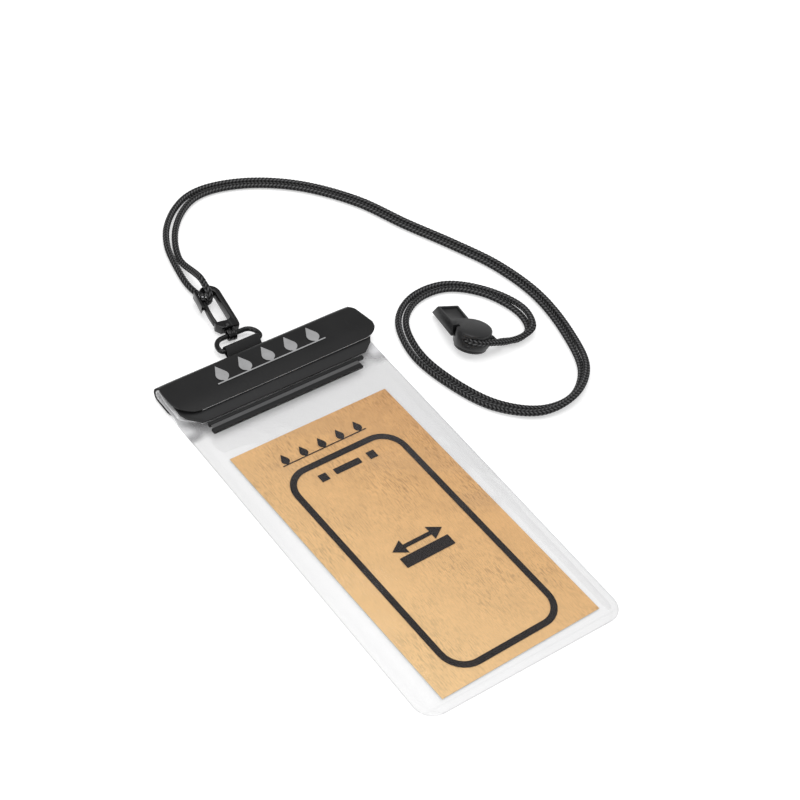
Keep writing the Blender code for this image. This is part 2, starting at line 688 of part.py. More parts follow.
def build_zip():
    """Two interlocking strips whose tapes are held between the films at the mouth."""
    step = MOUTH_Y - 0.4                      # where the tapes step in under the film
    tuck = MOUTH_Y + ZIP_TUCK
    low = NECK_THICK + GAP                    # underside of the groove strip
    floor = low + ZIP_TAPE
    tape = MOUTH_TOP - FILM                   # underside of the rib strip
    wall_top = tape - GAP - 0.05
    inner_low = low + FILM + GAP
    inner_high = inner_low + ZIP_TAPE + GAP
    rib, wall = ZIP_RIB / 2, ZIP_RIB / 2 + GAP

    groove = [(ZIP_FRONT, low), (step, low), (step, inner_low), (tuck, inner_low),
              (tuck, inner_low + ZIP_TAPE), (step - 0.6, inner_low + ZIP_TAPE), (step - 0.6, floor)]
    for y in reversed(ZIP_LINES):
        groove += [(y + wall + ZIP_WALL, floor), (y + wall + ZIP_WALL, wall_top), (y + wall, wall_top),
                   (y + wall, floor), (y - wall, floor), (y - wall, wall_top),
                   (y - wall - ZIP_WALL, wall_top), (y - wall - ZIP_WALL, floor)]
    groove.append((ZIP_FRONT, floor))
    strip("zip_groove_strip", groove, (0.03, 0.03, 0.03))

    ribbed = [(ZIP_FRONT, tape)]
    for y in ZIP_LINES:
        ribbed += [(y - rib, tape), (y - rib, tape - ZIP_RIB_DEPTH), (y + rib, tape - ZIP_RIB_DEPTH),
                   (y + rib, tape)]
    ribbed += [(step - 0.7, tape), (step - 0.7, inner_high), (tuck, inner_high), (tuck, inner_high + ZIP_TAPE),
               (step, inner_high + ZIP_TAPE), (step, tape + ZIP_TAPE)]
    for y in reversed(ZIP_LINES):
        ribbed += arc((y, tape + ZIP_TAPE), ZIP_BEAD, 0, 180, 8)
    ribbed.append((ZIP_FRONT, tape + ZIP_TAPE))
    strip("zip_rib_strip", ribbed, (0.05, 0.05, 0.05))


def tab_place():
    """Frame of the ring's hinge: X along the bar that the tab holds."""
    return Matrix.Translation(mm(TAB_AXIS)) @ Matrix.Rotation(math.radians(TAB_TURN), 4, "Z")


def build_tab():
    """A strip welded under the flap's lower leaf, whose end is turned round the ring."""
    outer = TAB_BORE + TAB_THICK
    floor = -TAB_AXIS[2]
    root = TAB_ROOT_Y - TAB_AXIS[1]
    loop = arc((0.0, 0.0), outer, -90, 100, 18)
    bore = arc((0.0, 0.0), TAB_BORE, 0, 345, 23)
    top = floor + TAB_THICK
    profile = [(root, floor), (TAB_WELD, floor)] + loop
    profile += [(TAB_WELD + 0.4, top + 0.9), (TAB_WELD - 0.6, top), (root, top)]
    half = TAB_ROOT_WIDTH / 2
    tab = plate("ring_tab", [profile, bore], -half, half)
    tab.data.transform(tab_place() @ PROFILE_TURN)
    narrow = TAB_WIDTH / 2
    wide, slim = TAB_FLARE
    side = [(narrow + (half - narrow) * (1 - smooth_step(i / 6)), wide + (slim - wide) * i / 6) for i in range(7)]
    side += arc((narrow - TAB_CORNER, outer - TAB_CORNER), TAB_CORNER, 0, 90, 4)
    flare = [(half, root - 1.0)] + side
    flare += [(-x, y) for x, y in reversed(flare)]
    keep = plate("tab_flare", [flare], -8.0, 8.0, CUTTERS, place=tab_place())
    combine(tab, keep, "INTERSECT")
    return dress(tab, (0.05, 0.05, 0.052), 0.5)


def ring_points():
    """Middle of the ring's wire in the tab's frame, with its front bar on the hinge."""
    half, depth = (RING_LENGTH - RING_WIRE) / 2, RING_DEPTH - RING_WIRE
    front, rear = half - TAB_WIDTH / 2 - 0.1, RING_REAR_CORNER
    right = arc((half - front, front), front, -90, 0, 5) + arc((half - rear, depth - rear), rear, 0, 90, 7)
    left = [(-x, y) for x, y in reversed(right)]
    return [(x, y, 0.0) for x, y in right + left]


def build_ring():
    """The oval ring, turned on the bar that lies in the tab."""
    place = tab_place()
    points = [place @ mm(point) / MM for point in ring_points()]
    ring = tube("oval_ring", points, RING_WIRE / 2, closed=True, sides=3)
    return dress_curve(ring, (0.02, 0.02, 0.02), 0.3)


def dress_curve(made, colour, roughness):
    """Give a curve object its material."""
    made.data.materials.append(finish(made.name, colour, roughness))
    return made


def bar_centre():
    """Middle of the ring's rear bar, where the swivel eye turns."""
    return tab_place() @ mm((HOOK_OFFSET, RING_DEPTH - RING_WIRE, 0.0)) / MM


def hook_place():
    """Frame of the snap hook: X is v, Y is u along its axis, Z is w, with its origin at the collar's foot."""
    lean, tilt = math.radians(HOOK_LEAN), math.radians(HOOK_TILT)
    along = Vector((math.sin(lean) * math.cos(tilt), math.cos(lean) * math.cos(tilt), math.sin(tilt)))
    right = Vector((math.cos(lean), -math.sin(lean), 0.0))
    up = right.cross(along)
    foot = Vector(bar_centre()) + along * (EYE_RADIUS + GAP)
    turn = Matrix((right, along, up)).transposed().to_4x4()
    return Matrix.Translation(foot * MM) @ turn


def on_hook(point):
    """A point in millimetres from one given as u, v, w on the hook."""
    u, v, w = point
    return hook_place() @ mm((v, u, w)) / MM


def build_swivel():
    """The eye round the ring's rear bar, with the stem and head that the collar turns on."""
    place = hook_place()
    centre = -(EYE_RADIUS + GAP)
    across = Matrix.Translation(mm((0.0, centre, 0.0))) @ Matrix.Rotation(math.radians(90.0), 4, "Y")
    half = EYE_WIDTH / 2
    eye = drum("swivel_eye", EYE_RADIUS, -half, half, sides=28)
    soften(eye, 0.4, 2)
    settle(eye)
    eye.data.transform(place @ across)
    stem = drum("eye_stem", STEM_RADIUS, centre + EYE_BORE, COLLAR_LIP + GAP + STEM_HEAD / 2, CUTTERS,
                place @ LIE_ALONG, 20)
    head = drum("eye_head", STEM_HEAD_RADIUS, COLLAR_LIP + GAP, COLLAR_LIP + GAP + STEM_HEAD, CUTTERS,
                place @ LIE_ALONG, 24)
    bore = drum("eye_bore", EYE_BORE, -half - 1.0, half + 1.0, CUTTERS, place @ across, 24)
    groove, depth = EYE_GROOVE
    waist = drum("eye_waist", EYE_RADIUS + 1.0, -groove, groove, CUTTERS, place @ across, 24)
    core = drum("eye_core", EYE_RADIUS - depth, -groove - 0.2, groove + 0.2, CUTTERS, place @ across, 24)
    combine(waist, core)
    combine(eye, waist)
    combine(eye, stem, "UNION")
    combine(eye, head, "UNION")
    combine(eye, bore)
    return dress(eye, (0.02, 0.02, 0.02), 0.3, smooth=35)


def hook_outline():
    """The snap hook's flat form: v, u pairs from the foot round the crown to the left shoulder and back inside."""
    half, crown = HOOK_HALF, HOOK_LENGTH - CROWN_HALF
    inner = CROWN_HALF - HOOK_LIMB + 0.2
    left = CROWN_SHIFT - CROWN_HALF
    points = [(HOOK_FOOT[0], GAP), (HOOK_FOOT[1], GAP), (half, HOOK_CHEEK)]
    points += arc((CROWN_SHIFT, crown), CROWN_HALF, 0, 180, 16)
    points += [(left, HOOK_JAW), (left + JAW_WIDTH, HOOK_JAW)]
    points += arc((CROWN_SHIFT, crown - 0.4), inner, 165, 0, 12)
    points += arc((half - HOOK_LIMB - SEAT_CORNER, HOOK_SEAT + SEAT_CORNER), SEAT_CORNER, 0, -90, 5)
    points += [(-half + 0.2, HOOK_SEAT), (-half, HOOK_CHEEK)]
    return points


def build_hook():
    """The cast hook: a limb and crown on a round collar, open on its left where the gate closes it."""
    place = hook_place()
    half = HOOK_THICK / 2
    body = plate("hook_body", [hook_outline()], -half, half)
    soften(body, HOOK_ROUND, 2, 50.0)
    settle(body)
    body.data.transform(place)
    collar = drum("hook_collar", COLLAR_RADIUS, 0.0, COLLAR_LENGTH, CUTTERS, None, 32)
    soften(collar, 0.4, 1)
    settle(collar)
    collar.data.transform(place @ LIE_ALONG)
    bore = drum("hook_bore", STEM_RADIUS + GAP, -1.0, COLLAR_LIP + 0.1, CUTTERS, place @ LIE_ALONG, 20)
    pocket = drum("hook_pocket", STEM_HEAD_RADIUS + GAP, COLLAR_LIP, COLLAR_LIP + 2 * GAP + STEM_HEAD, CUTTERS,
                  place @ LIE_ALONG, 24)
    slot_half = KNUCKLE_THICK / 2 + GAP
    reach = KNUCKLE + GAP
    slot = block("hook_slot", (-HOOK_HALF - 1.0, HOOK_JAW - 1.0, -slot_half),
                 (PIVOT[1] + reach + 1.6, PIVOT[0] + reach, slot_half), CUTTERS, place)
    hole = drum("hook_pin_hole", PIN_RADIUS + GAP, -half - 1.0, half + 1.0, CUTTERS,
                place @ Matrix.Translation(mm((PIVOT[1], PIVOT[0], 0.0))), 14)
    combine(body, collar, "UNION")
    for cutter in (bore, pocket, slot, hole):
        combine(body, cutter)
    return dress(body, (0.02, 0.02, 0.02), 0.28, smooth=35)


def build_gate():
    """The gate: an arm from its knuckle down to the collar, with a thumb plate on its outer side."""
    place = hook_place()
    u, v = PIVOT
    foot, arm_top, arm = HOOK_SEAT + GAP + 0.1, HOOK_JAW - GAP - 0.2, GATE_ARM / 2
    line = [(v - GATE_BOW * math.sin(math.pi * i / 8), foot + (arm_top - foot) * i / 8) for i in range(9)]
    outline = [(x + arm, y) for x, y in line] + [(x - arm, y) for x, y in reversed(line)]
    gate = plate("hook_gate", [outline], -GATE_THICK / 2, GATE_THICK / 2)
    soften(gate, 0.5, 2, 50.0)
    settle(gate)
    gate.data.transform(place)
    root = [(v - arm - 0.1, arm_top - 1.5), (v + arm - 0.3, arm_top - 1.5)]
    lug = plate("gate_lug", [arc((v, u), KNUCKLE, 0, 180, 10) + root], -KNUCKLE_THICK / 2, KNUCKLE_THICK / 2,
                CUTTERS, place)
    outer, inner = THUMB_OUTER, THUMB_OUTER + THUMB_PLATE
    low, high = THUMB
    thumb = [(inner, low + 0.8), (inner, high - 0.8), (outer + 0.5, high), (outer, high - 1.0),
             (outer + 0.15, (low + high) / 2), (outer, low + 0.6), (outer - 0.3, low - 0.4), (outer + 0.5, low)]
    thumb = plate("gate_thumb", [thumb], -HOOK_THICK / 2, HOOK_THICK / 2, CUTTERS, place)
    low, high = THUMB_WEB
    web = [(v - arm, low), (inner - 0.3, low - 0.4), (inner - 0.3, high - 0.4), (v - arm, high)]
    web = plate("gate_web", [web], -GATE_THICK / 2 + 0.5, GATE_THICK / 2 - 0.5, CUTTERS, place)
    at_pivot = place @ Matrix.Translation(mm((v, u, 0.0)))
    hole = drum("gate_pin_hole", PIN_RADIUS + GAP, -4.0, 4.0, CUTTERS, at_pivot, 14)
    for part in (lug, web, thumb):
        combine(gate, part, "UNION")
    combine(gate, hole)
    dress(gate, (0.03, 0.03, 0.03), 0.22, smooth=35)
    pin = drum("gate_pin", PIN_RADIUS, -HOOK_THICK / 2 + 0.1, HOOK_THICK / 2 - 0.1, sides=14, place=at_pivot)
    dress(pin, (0.05, 0.05, 0.05), 0.3, metallic=0.6, smooth=35)


def drum_place():
    """Frame of the leaning drum: its axis is Z and its underside is at zero."""
    toward = math.radians(WHISTLE_TOWARD)
    tip = Vector((-math.sin(toward), math.cos(toward), 0.0))
    return Matrix.Translation(mm(WHISTLE_AT)) @ Matrix.Rotation(math.radians(WHISTLE_LEAN), 4, tip)


def whistle_place():
    """Frame of the whistle: the drum's, turned so that the mouthpiece points along Y."""
    return drum_place() @ Matrix.Rotation(math.radians(WHISTLE_YAW), 4, "Z")


def whistle_turn():
    """The cord's way into the drum, round the post in it and out again."""
    inside = [drum_place() @ mm(point) / MM for point in WHISTLE_PASS]
    return [Vector(point) for point in WHISTLE_IN] + inside + [Vector(point) for point in WHISTLE_OUT]


def build_whistle():
    """A hollow drum and mouthpiece in one moulding, closed below by a side cover."""
    place = whistle_place()
    foot = COVER_THICK + GAP
    body = drum("whistle_body", DRUM_RADIUS, foot, DRUM_TOP, sides=48)
    soften(body, DRUM_ROUND, 2)
    settle(body)
    body.data.transform(place)
    x0, x1 = MOUTHPIECE_X
    z0, z1 = MOUTHPIECE_Z
    shape = [(MOUTHPIECE_ROOT, z0), (MOUTHPIECE_END, z0), (MOUTHPIECE_END - MOUTHPIECE_SLOPE, z1),
             (MOUTHPIECE_ROOT, z1)]
    mouth = plate("whistle_mouth", [shape], x0, x1, CUTTERS)
    mouth.data.transform(PROFILE_TURN)
    soften(mouth, MOUTHPIECE_ROUND, 2)
    settle(mouth)
    mouth.data.transform(place)
    chamber = drum("whistle_chamber", CHAMBER_RADIUS, foot - 1.0, CHAMBER_TOP, CUTTERS, place, 40)
    window = block("whistle_window", (x0 - 4.0, WINDOW_Y[0], z0 + 1.4), (x0 + WINDOW_DEPTH, WINDOW_Y[1], z1 + 1.0),
                   CUTTERS, place)
    throat = block("whistle_throat", (1.5 - CHAMBER_RADIUS - 2.5, WINDOW_Y[0], CHAMBER_TOP - 1.2),
                   (1.5 - CHAMBER_RADIUS, WINDOW_Y[1], z0 + 2.0), CUTTERS, place)
    way = block("whistle_windway", (x0 + 1.6, WINDOW_Y[1] - 1.0, z0 + 1.4),
                (x0 + 1.6 + WINDWAY_WIDTH, MOUTHPIECE_END + 1.0, z1 - 1.6), CUTTERS, place)
    channel = tube("whistle_channel", smooth_curve(whistle_turn(), CHANNEL_STEP), CORD_CHANNEL, CUTTERS, sides=4)
    channel = as_mesh(channel, CUTTERS)
    combine(body, mouth, "UNION")
    for cutter in (chamber, window, throat, way, channel):
        combine(body, cutter)
    dress(body, (0.03, 0.03, 0.03), 0.45, smooth=35)
    cover = drum("whistle_side_cover", COVER_RADIUS, 0.0, COVER_THICK, place=place, sides=40)
    plug = drum("whistle_plug", CHAMBER_RADIUS - GAP, COVER_THICK / 2, foot + COVER_PLUG, CUTTERS, place, 40)
    combine(cover, plug, "UNION")
    dress(cover, (0.03, 0.03, 0.03), 0.45, smooth=35)


def smooth_curve(points, step):
    """Points at an even step on a centripetal spline through the given points."""
    knots = [Vector(point) for point in points]
    knots = [knots[0] * 2 - knots[1]] + knots + [knots[-1] * 2 - knots[-2]]
    fine = []
    for p0, p1, p2, p3 in zip(knots, knots[1:], knots[2:], knots[3:]):
        times = [0.0]
        for a, b in ((p0, p1), (p1, p2), (p2, p3)):
            times.append(times[-1] + max(1e-6, (b - a).length) ** 0.5)
        t0, t1, t2, t3 = times
        for i in range(24):
            t = t1 + (t2 - t1) * i / 24
            a1 = p0 * ((t1 - t) / (t1 - t0)) + p1 * ((t - t0) / (t1 - t0))
            a2 = p1 * ((t2 - t) / (t2 - t1)) + p2 * ((t - t1) / (t2 - t1))
            a3 = p2 * ((t3 - t) / (t3 - t2)) + p3 * ((t - t2) / (t3 - t2))
            b1 = a1 * ((t2 - t) / (t2 - t0)) + a2 * ((t - t0) / (t2 - t0))
            b2 = a2 * ((t3 - t) / (t3 - t1)) + a3 * ((t - t1) / (t3 - t1))
            fine.append(b1 * ((t2 - t) / (t2 - t1)) + b2 * ((t - t1) / (t2 - t1)))
    fine.append(knots[-2])
    return resample(fine, step)


def resample(fine, step):
    """Points on a polyline, closer together where it bends or stands clear of the floor."""
    kept = [fine[0]]
    travelled = 0.0
    heading = (fine[1] - fine[0]).normalized()
    for a, b in zip(fine, fine[1:]):
        travelled += (b - a).length
        now = (b - a).normalized() if (b - a).length > 1e-9 else heading
        turned = math.degrees(heading.angle(now)) if now.length else 0.0
        reach = step if b.z < CORD_RAISED else min(step, CORD_SHORT_STEP)
        if travelled >= reach or (turned > CORD_BEND and travelled > 1.5):
            kept.append(b)
            travelled = 0.0
            heading = now
    if (kept[-1] - fine[-1]).length > 1.0:
        kept.append(fine[-1])
    return kept


def lanyard_knots():
    """The whole cord: down the inner run from the whistle, round the hook and back along the outer run."""
    floor = CORD / 2 + CORD_CLEAR
    middle = [Vector((x, y, floor)) for x, y, *_ in LANYARD_ROUTE]
    outer, inner = [], []
    for i, (_, _, apart, lift) in enumerate(LANYARD_ROUTE):
        ahead = middle[min(i + 1, len(middle) - 1)] - middle[max(i - 1, 0)]
        side = Vector((-ahead.y, ahead.x, 0.0)).normalized() * apart / 2
        outer.append(middle[i] + side + Vector((0.0, 0.0, lift)))
        inner.append(middle[i] - side)
    clasp = [Vector(point) for point in OVER_RUN] + [on_hook(point) for point in HOOK_TURN]
    clasp += [Vector(point) for point in UNDER_RUN]
    turn = whistle_turn()
    meet = turn[WHISTLE_JOIN - 1].lerp(turn[WHISTLE_JOIN], 0.5)
    slack = (turn[WHISTLE_JOIN] - turn[WHISTLE_JOIN - 1]).normalized() * GAP
    head = [meet + slack] + turn[WHISTLE_JOIN:]
    tail = turn[:WHISTLE_JOIN] + [meet - slack]
    return head + inner[::-1] + clasp + outer + tail


def build_lanyard():
    """The cord as one plain tube whose ends almost meet inside the whistle's drum."""
    cord = tube("lanyard_cord", smooth_curve(lanyard_knots(), CORD_STEP), CORD / 2)
    return dress_curve(cord, (0.015, 0.015, 0.015), 0.8)


build_bag()
build_card()
build_neck()
build_flap()
build_zip()
build_tab()
build_ring()
build_swivel()
build_hook()
build_gate()
build_whistle()
build_lanyard()
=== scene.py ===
import logging
import math
from dataclasses import dataclass
from enum import Enum

import bpy
from mathutils import Matrix, Vector


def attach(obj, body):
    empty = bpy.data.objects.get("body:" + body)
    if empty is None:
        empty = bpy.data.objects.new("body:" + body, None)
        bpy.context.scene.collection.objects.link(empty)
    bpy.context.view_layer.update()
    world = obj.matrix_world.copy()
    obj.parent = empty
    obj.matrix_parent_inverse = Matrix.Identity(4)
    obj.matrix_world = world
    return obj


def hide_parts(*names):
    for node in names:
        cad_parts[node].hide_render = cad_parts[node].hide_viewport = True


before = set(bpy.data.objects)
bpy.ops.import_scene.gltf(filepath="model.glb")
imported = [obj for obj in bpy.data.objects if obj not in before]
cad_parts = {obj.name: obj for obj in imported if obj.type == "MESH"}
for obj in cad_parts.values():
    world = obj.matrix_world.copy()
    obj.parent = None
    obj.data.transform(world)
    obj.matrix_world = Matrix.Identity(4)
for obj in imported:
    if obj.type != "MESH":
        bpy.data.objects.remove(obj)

LOG = logging.getLogger("neck_pouch")
MM = 0.001
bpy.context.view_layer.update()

Point = tuple[float, float, float]
Spot = tuple[float, float]
Piece = bpy.types.Object
Material = bpy.types.Material
Socket = bpy.types.NodeSocket
Node = bpy.types.Node
Shader = bpy.types.NodeTree
Groups = dict[str, Shader]


class Gloss(Enum):
    """Roughness of a finish."""

    POLISHED = 0.2
    SATIN = 0.36
    SOFT = 0.48
    MATT = 0.75


class Body(Enum):
    """The bodies that pieces ride on."""

    POUCH = "pouch"
    RING = "ring"
    SWIVEL = "swivel"
    HOOK = "hook"
    GATE = "gate"


# Lines and curves

def mm(point: Point | Vector) -> Vector:
    """Metres from millimetres."""
    return Vector(point) * MM


def smooth_step(t: float) -> float:
    """Ease from 0 to 1."""
    t = min(1.0, max(0.0, t))
    return t * t * (3 - 2 * t)


def bell(distance: float, width: float) -> float:
    """A soft peak of 1 that falls away past a width."""
    return math.exp(-(distance / width) ** 2)


def crowded(t: float, share: float) -> float:
    """A way across, from -1 to 1, drawn toward both ends by a share."""
    return share * math.sin(t * math.pi / 2) + (1.0 - share) * t


def ways(columns: int) -> list[float]:
    """Ways across a sheet, from -1 to 1."""
    return [2 * c / columns - 1 for c in range(columns + 1)]


def between(x: float, points: tuple[Spot, ...]) -> float:
    """Value at x on a line through points.

    Args:
        x: Where to read.
        points: Pairs of x and value, in rising x.

    Returns:
        The value, held level past both ends.
    """
    if x <= points[0][0]:
        return points[0][1]
    for (x0, v0), (x1, v1) in zip(points, points[1:]):
        if x <= x1:
            return v0 + (v1 - v0) * (x - x0) / (x1 - x0)
    return points[-1][1]


def arc(centre: Spot, radius: float, start: float, end: float, steps: int) -> list[Spot]:
    """Points of an arc in a plane.

    Args:
        centre: Its centre.
        radius: Its radius.
        start: First angle in degrees.
        end: Last angle.
        steps: Number of chords.

    Returns:
        The points, both ends included.
    """
    turns = [math.radians(start + (end - start) * i / steps) for i in range(steps + 1)]
    return [(centre[0] + radius * math.cos(t), centre[1] + radius * math.sin(t)) for t in turns]


def slope(start: Spot, end: Spot, steps: int) -> list[Spot]:
    """Points of an eased slope after its start.

    Args:
        start: Its first y and z.
        end: Its last y and z.
        steps: Number of chords.

    Returns:
        The points, the end included.
    """
    (y0, z0), (y1, z1) = start, end
    return [(y0 + (y1 - y0) * i / steps, z0 + (z1 - z0) * smooth_step(i / steps))
            for i in range(1, steps + 1)]


@dataclass
class FoldPath:
    """A line in the YZ plane, read by its length, with its inward normal."""

    points: list[Spot]

    def __post_init__(self) -> None:
        """Measure the line once."""
        self.lengths = [0.0]
        for a, b in zip(self.points, self.points[1:]):
            self.lengths.append(self.lengths[-1] + math.dist(a, b))
        self.total = self.lengths[-1]

    def corner(self, k: int) -> Spot:
        """Inward normal at one point of the line.

        Args:
            k: Number of the point.

        Returns:
            Its y and z.
        """
        before, after = self.points[max(0, k - 1)], self.points[min(len(self.points) - 1, k + 1)]
        dy, dz = after[0] - before[0], after[1] - before[1]
        size = math.hypot(dy, dz)
        return -dz / size, dy / size

    def at(self, s: float, depth: float) -> Spot:
        """Point at a length along the line and a depth below it.

        Args:
            s: Length along the line in millimetres.
            depth: Depth on the inner side.

        Returns:
            Its y and z.
        """
        last = len(self.points) - 2
        i = next((k for k in range(last + 1) if s <= self.lengths[k + 1]), last)
        t = (s - self.lengths[i]) / (self.lengths[i + 1] - self.lengths[i])
        a, b = self.corner(i), self.corner(i + 1)
        ny, nz = a[0] + (b[0] - a[0]) * t, a[1] + (b[1] - a[1]) * t
        size = math.hypot(ny, nz)
        (y0, z0), (y1, z1) = self.points[i], self.points[i + 1]
        return y0 + (y1 - y0) * t + ny / size * depth, z0 + (z1 - z0) * t + nz / size * depth


# Objects and meshes

def take(piece: Piece) -> None:
    """Select one object only and make it active.

    Args:
        piece: The object.
    """
    bpy.ops.object.select_all(action="DESELECT")
    piece.select_set(True)
    bpy.context.view_layer.objects.active = piece


def edit(piece: Piece) -> None:
    """Open a piece in edit mode with its whole mesh selected.

    Args:
        piece: The piece.
    """
    take(piece)
    bpy.ops.object.mode_set(mode="EDIT")
    bpy.ops.mesh.select_all(action="SELECT")


def edit_some(piece: Piece, kind: str, chosen: list[bool]) -> None:
    """Open a piece in edit mode with some of its faces or vertices selected.

    Args:
        piece: The piece.
        kind: FACE or VERT.
        chosen: Whether each of them is selected.
    """
    edit(piece)
    bpy.ops.mesh.select_mode(type=kind)
    bpy.ops.mesh.select_all(action="DESELECT")
    close()
    items = piece.data.polygons if kind == "FACE" else piece.data.vertices
    items.foreach_set("select", chosen)
    bpy.ops.object.mode_set(mode="EDIT")


def close() -> None:
    """Leave edit mode."""
    bpy.ops.object.mode_set(mode="OBJECT")


def turn_mesh(piece: Piece, angle: float, centre: Point) -> None:
    """Turn a piece's mesh about Z, anticlockwise from above.

    Args:
        piece: The piece.
        angle: The angle in radians.
        centre: A point on the axis, in metres.
    """
    edit(piece)
    bpy.ops.transform.rotate(value=-angle, orient_axis="Z", center_override=centre)
    close()


def apply_modifiers(piece: Piece) -> None:
    """Apply every modifier of a piece, in order.

    Args:
        piece: The piece.
    """
    take(piece)
    for modifier in list(piece.modifiers):
        bpy.ops.object.modifier_apply(modifier=modifier.name)


def settle(piece: Piece, title: str, scale: Point) -> None:
    """Put a new primitive's place into its mesh.

    Args:
        piece: The primitive.
        title: Its name.
        scale: Its scale.
    """
    piece.name = title
    piece.scale = scale
    take(piece)
    bpy.ops.object.transform_apply(location=True, rotation=True, scale=True)


def ease_edges(piece: Piece, width: float, segments: int, angle: float) -> None:
    """Bevel the sharp edges of a piece.

    Args:
        piece: The piece.
        width: Width of the bevel in millimetres.
        segments: Steps across it.
        angle: Edges sharper than this are bevelled, in degrees.
    """
    bevel = piece.modifiers.new("eased", "BEVEL")
    bevel.width, bevel.segments = width * MM, segments
    bevel.limit_method, bevel.angle_limit = "ANGLE", math.radians(angle)
    apply_modifiers(piece)


def smooth(piece: Piece, angle: float) -> None:
    """Shade a piece smooth across edges flatter than an angle in degrees."""
    take(piece)
    bpy.ops.object.shade_smooth_by_angle(angle=math.radians(angle))


def new_object(title: str, data: bpy.types.ID) -> Piece:
    """A new object in the scene.

    Args:
        title: Its name.
        data: Its mesh, camera or lamp.

    Returns:
        The object.
    """
    made = bpy.data.objects.new(title, data)
    bpy.context.scene.collection.objects.link(made)
    return made


def mesh_piece(title: str, points: list[Vector], faces: list[tuple[int, ...]]) -> Piece:
    """A new piece in the scene.

    Args:
        title: Its name.
        points: Its vertices in metres.
        faces: Its faces, by vertex number.

    Returns:
        The piece.
    """
    mesh = bpy.data.meshes.new(title)
    mesh.from_pydata([tuple(point) for point in points], [], faces)
    mesh.update()
    return new_object(title, mesh)


def sheet_piece(title: str, rows: list[list[Vector]]) -> Piece:
    """A sheet with a UV map that counts across and along in metres.

    Args:
        title: Its name.
        rows: Rows with the same number of points, in metres.

    Returns:
        The piece.
    """
    wide = len(rows[0])
    faces = [(r * wide + c, r * wide + c + 1, (r + 1) * wide + c + 1, (r + 1) * wide + c)
             for r in range(len(rows) - 1) for c in range(wide - 1)]
    piece = mesh_piece(title, [point for row in rows for point in row], faces)
    along = [0.0]
    for a, b in zip(rows, rows[1:]):
        along.append(along[-1] + (b[wide // 2] - a[wide // 2]).length)
    layer = piece.data.uv_layers.new(name="sheet")
    for loop in piece.data.loops:
        row, column = divmod(loop.vertex_index, wide)
        layer.data[loop.index].uv = (rows[row][column].x, along[row])
    return piece


def add_values(piece: Piece, title: str, values: list[float]) -> None:
    """Store a value for each vertex, for a shader to read."""
    piece.data.attributes.new(title, "FLOAT", "POINT").data.foreach_set("value", values)


def add_block(title: str, low: Point, high: Point) -> Piece:
    """A block, as a start for a moulding.

    Args:
        title: Its name.
        low: Lowest corner in millimetres.
        high: Highest corner.

    Returns:
        The block, its place already in its mesh.
    """
    bpy.ops.object.select_all(action="DESELECT")
    bpy.ops.mesh.primitive_cube_add(size=1.0, location=[(a + b) / 2 * MM for a, b in zip(low, high)])
    piece = bpy.context.object
    settle(piece, title, [(b - a) * MM for a, b in zip(low, high)])
    return piece


# Shader trees

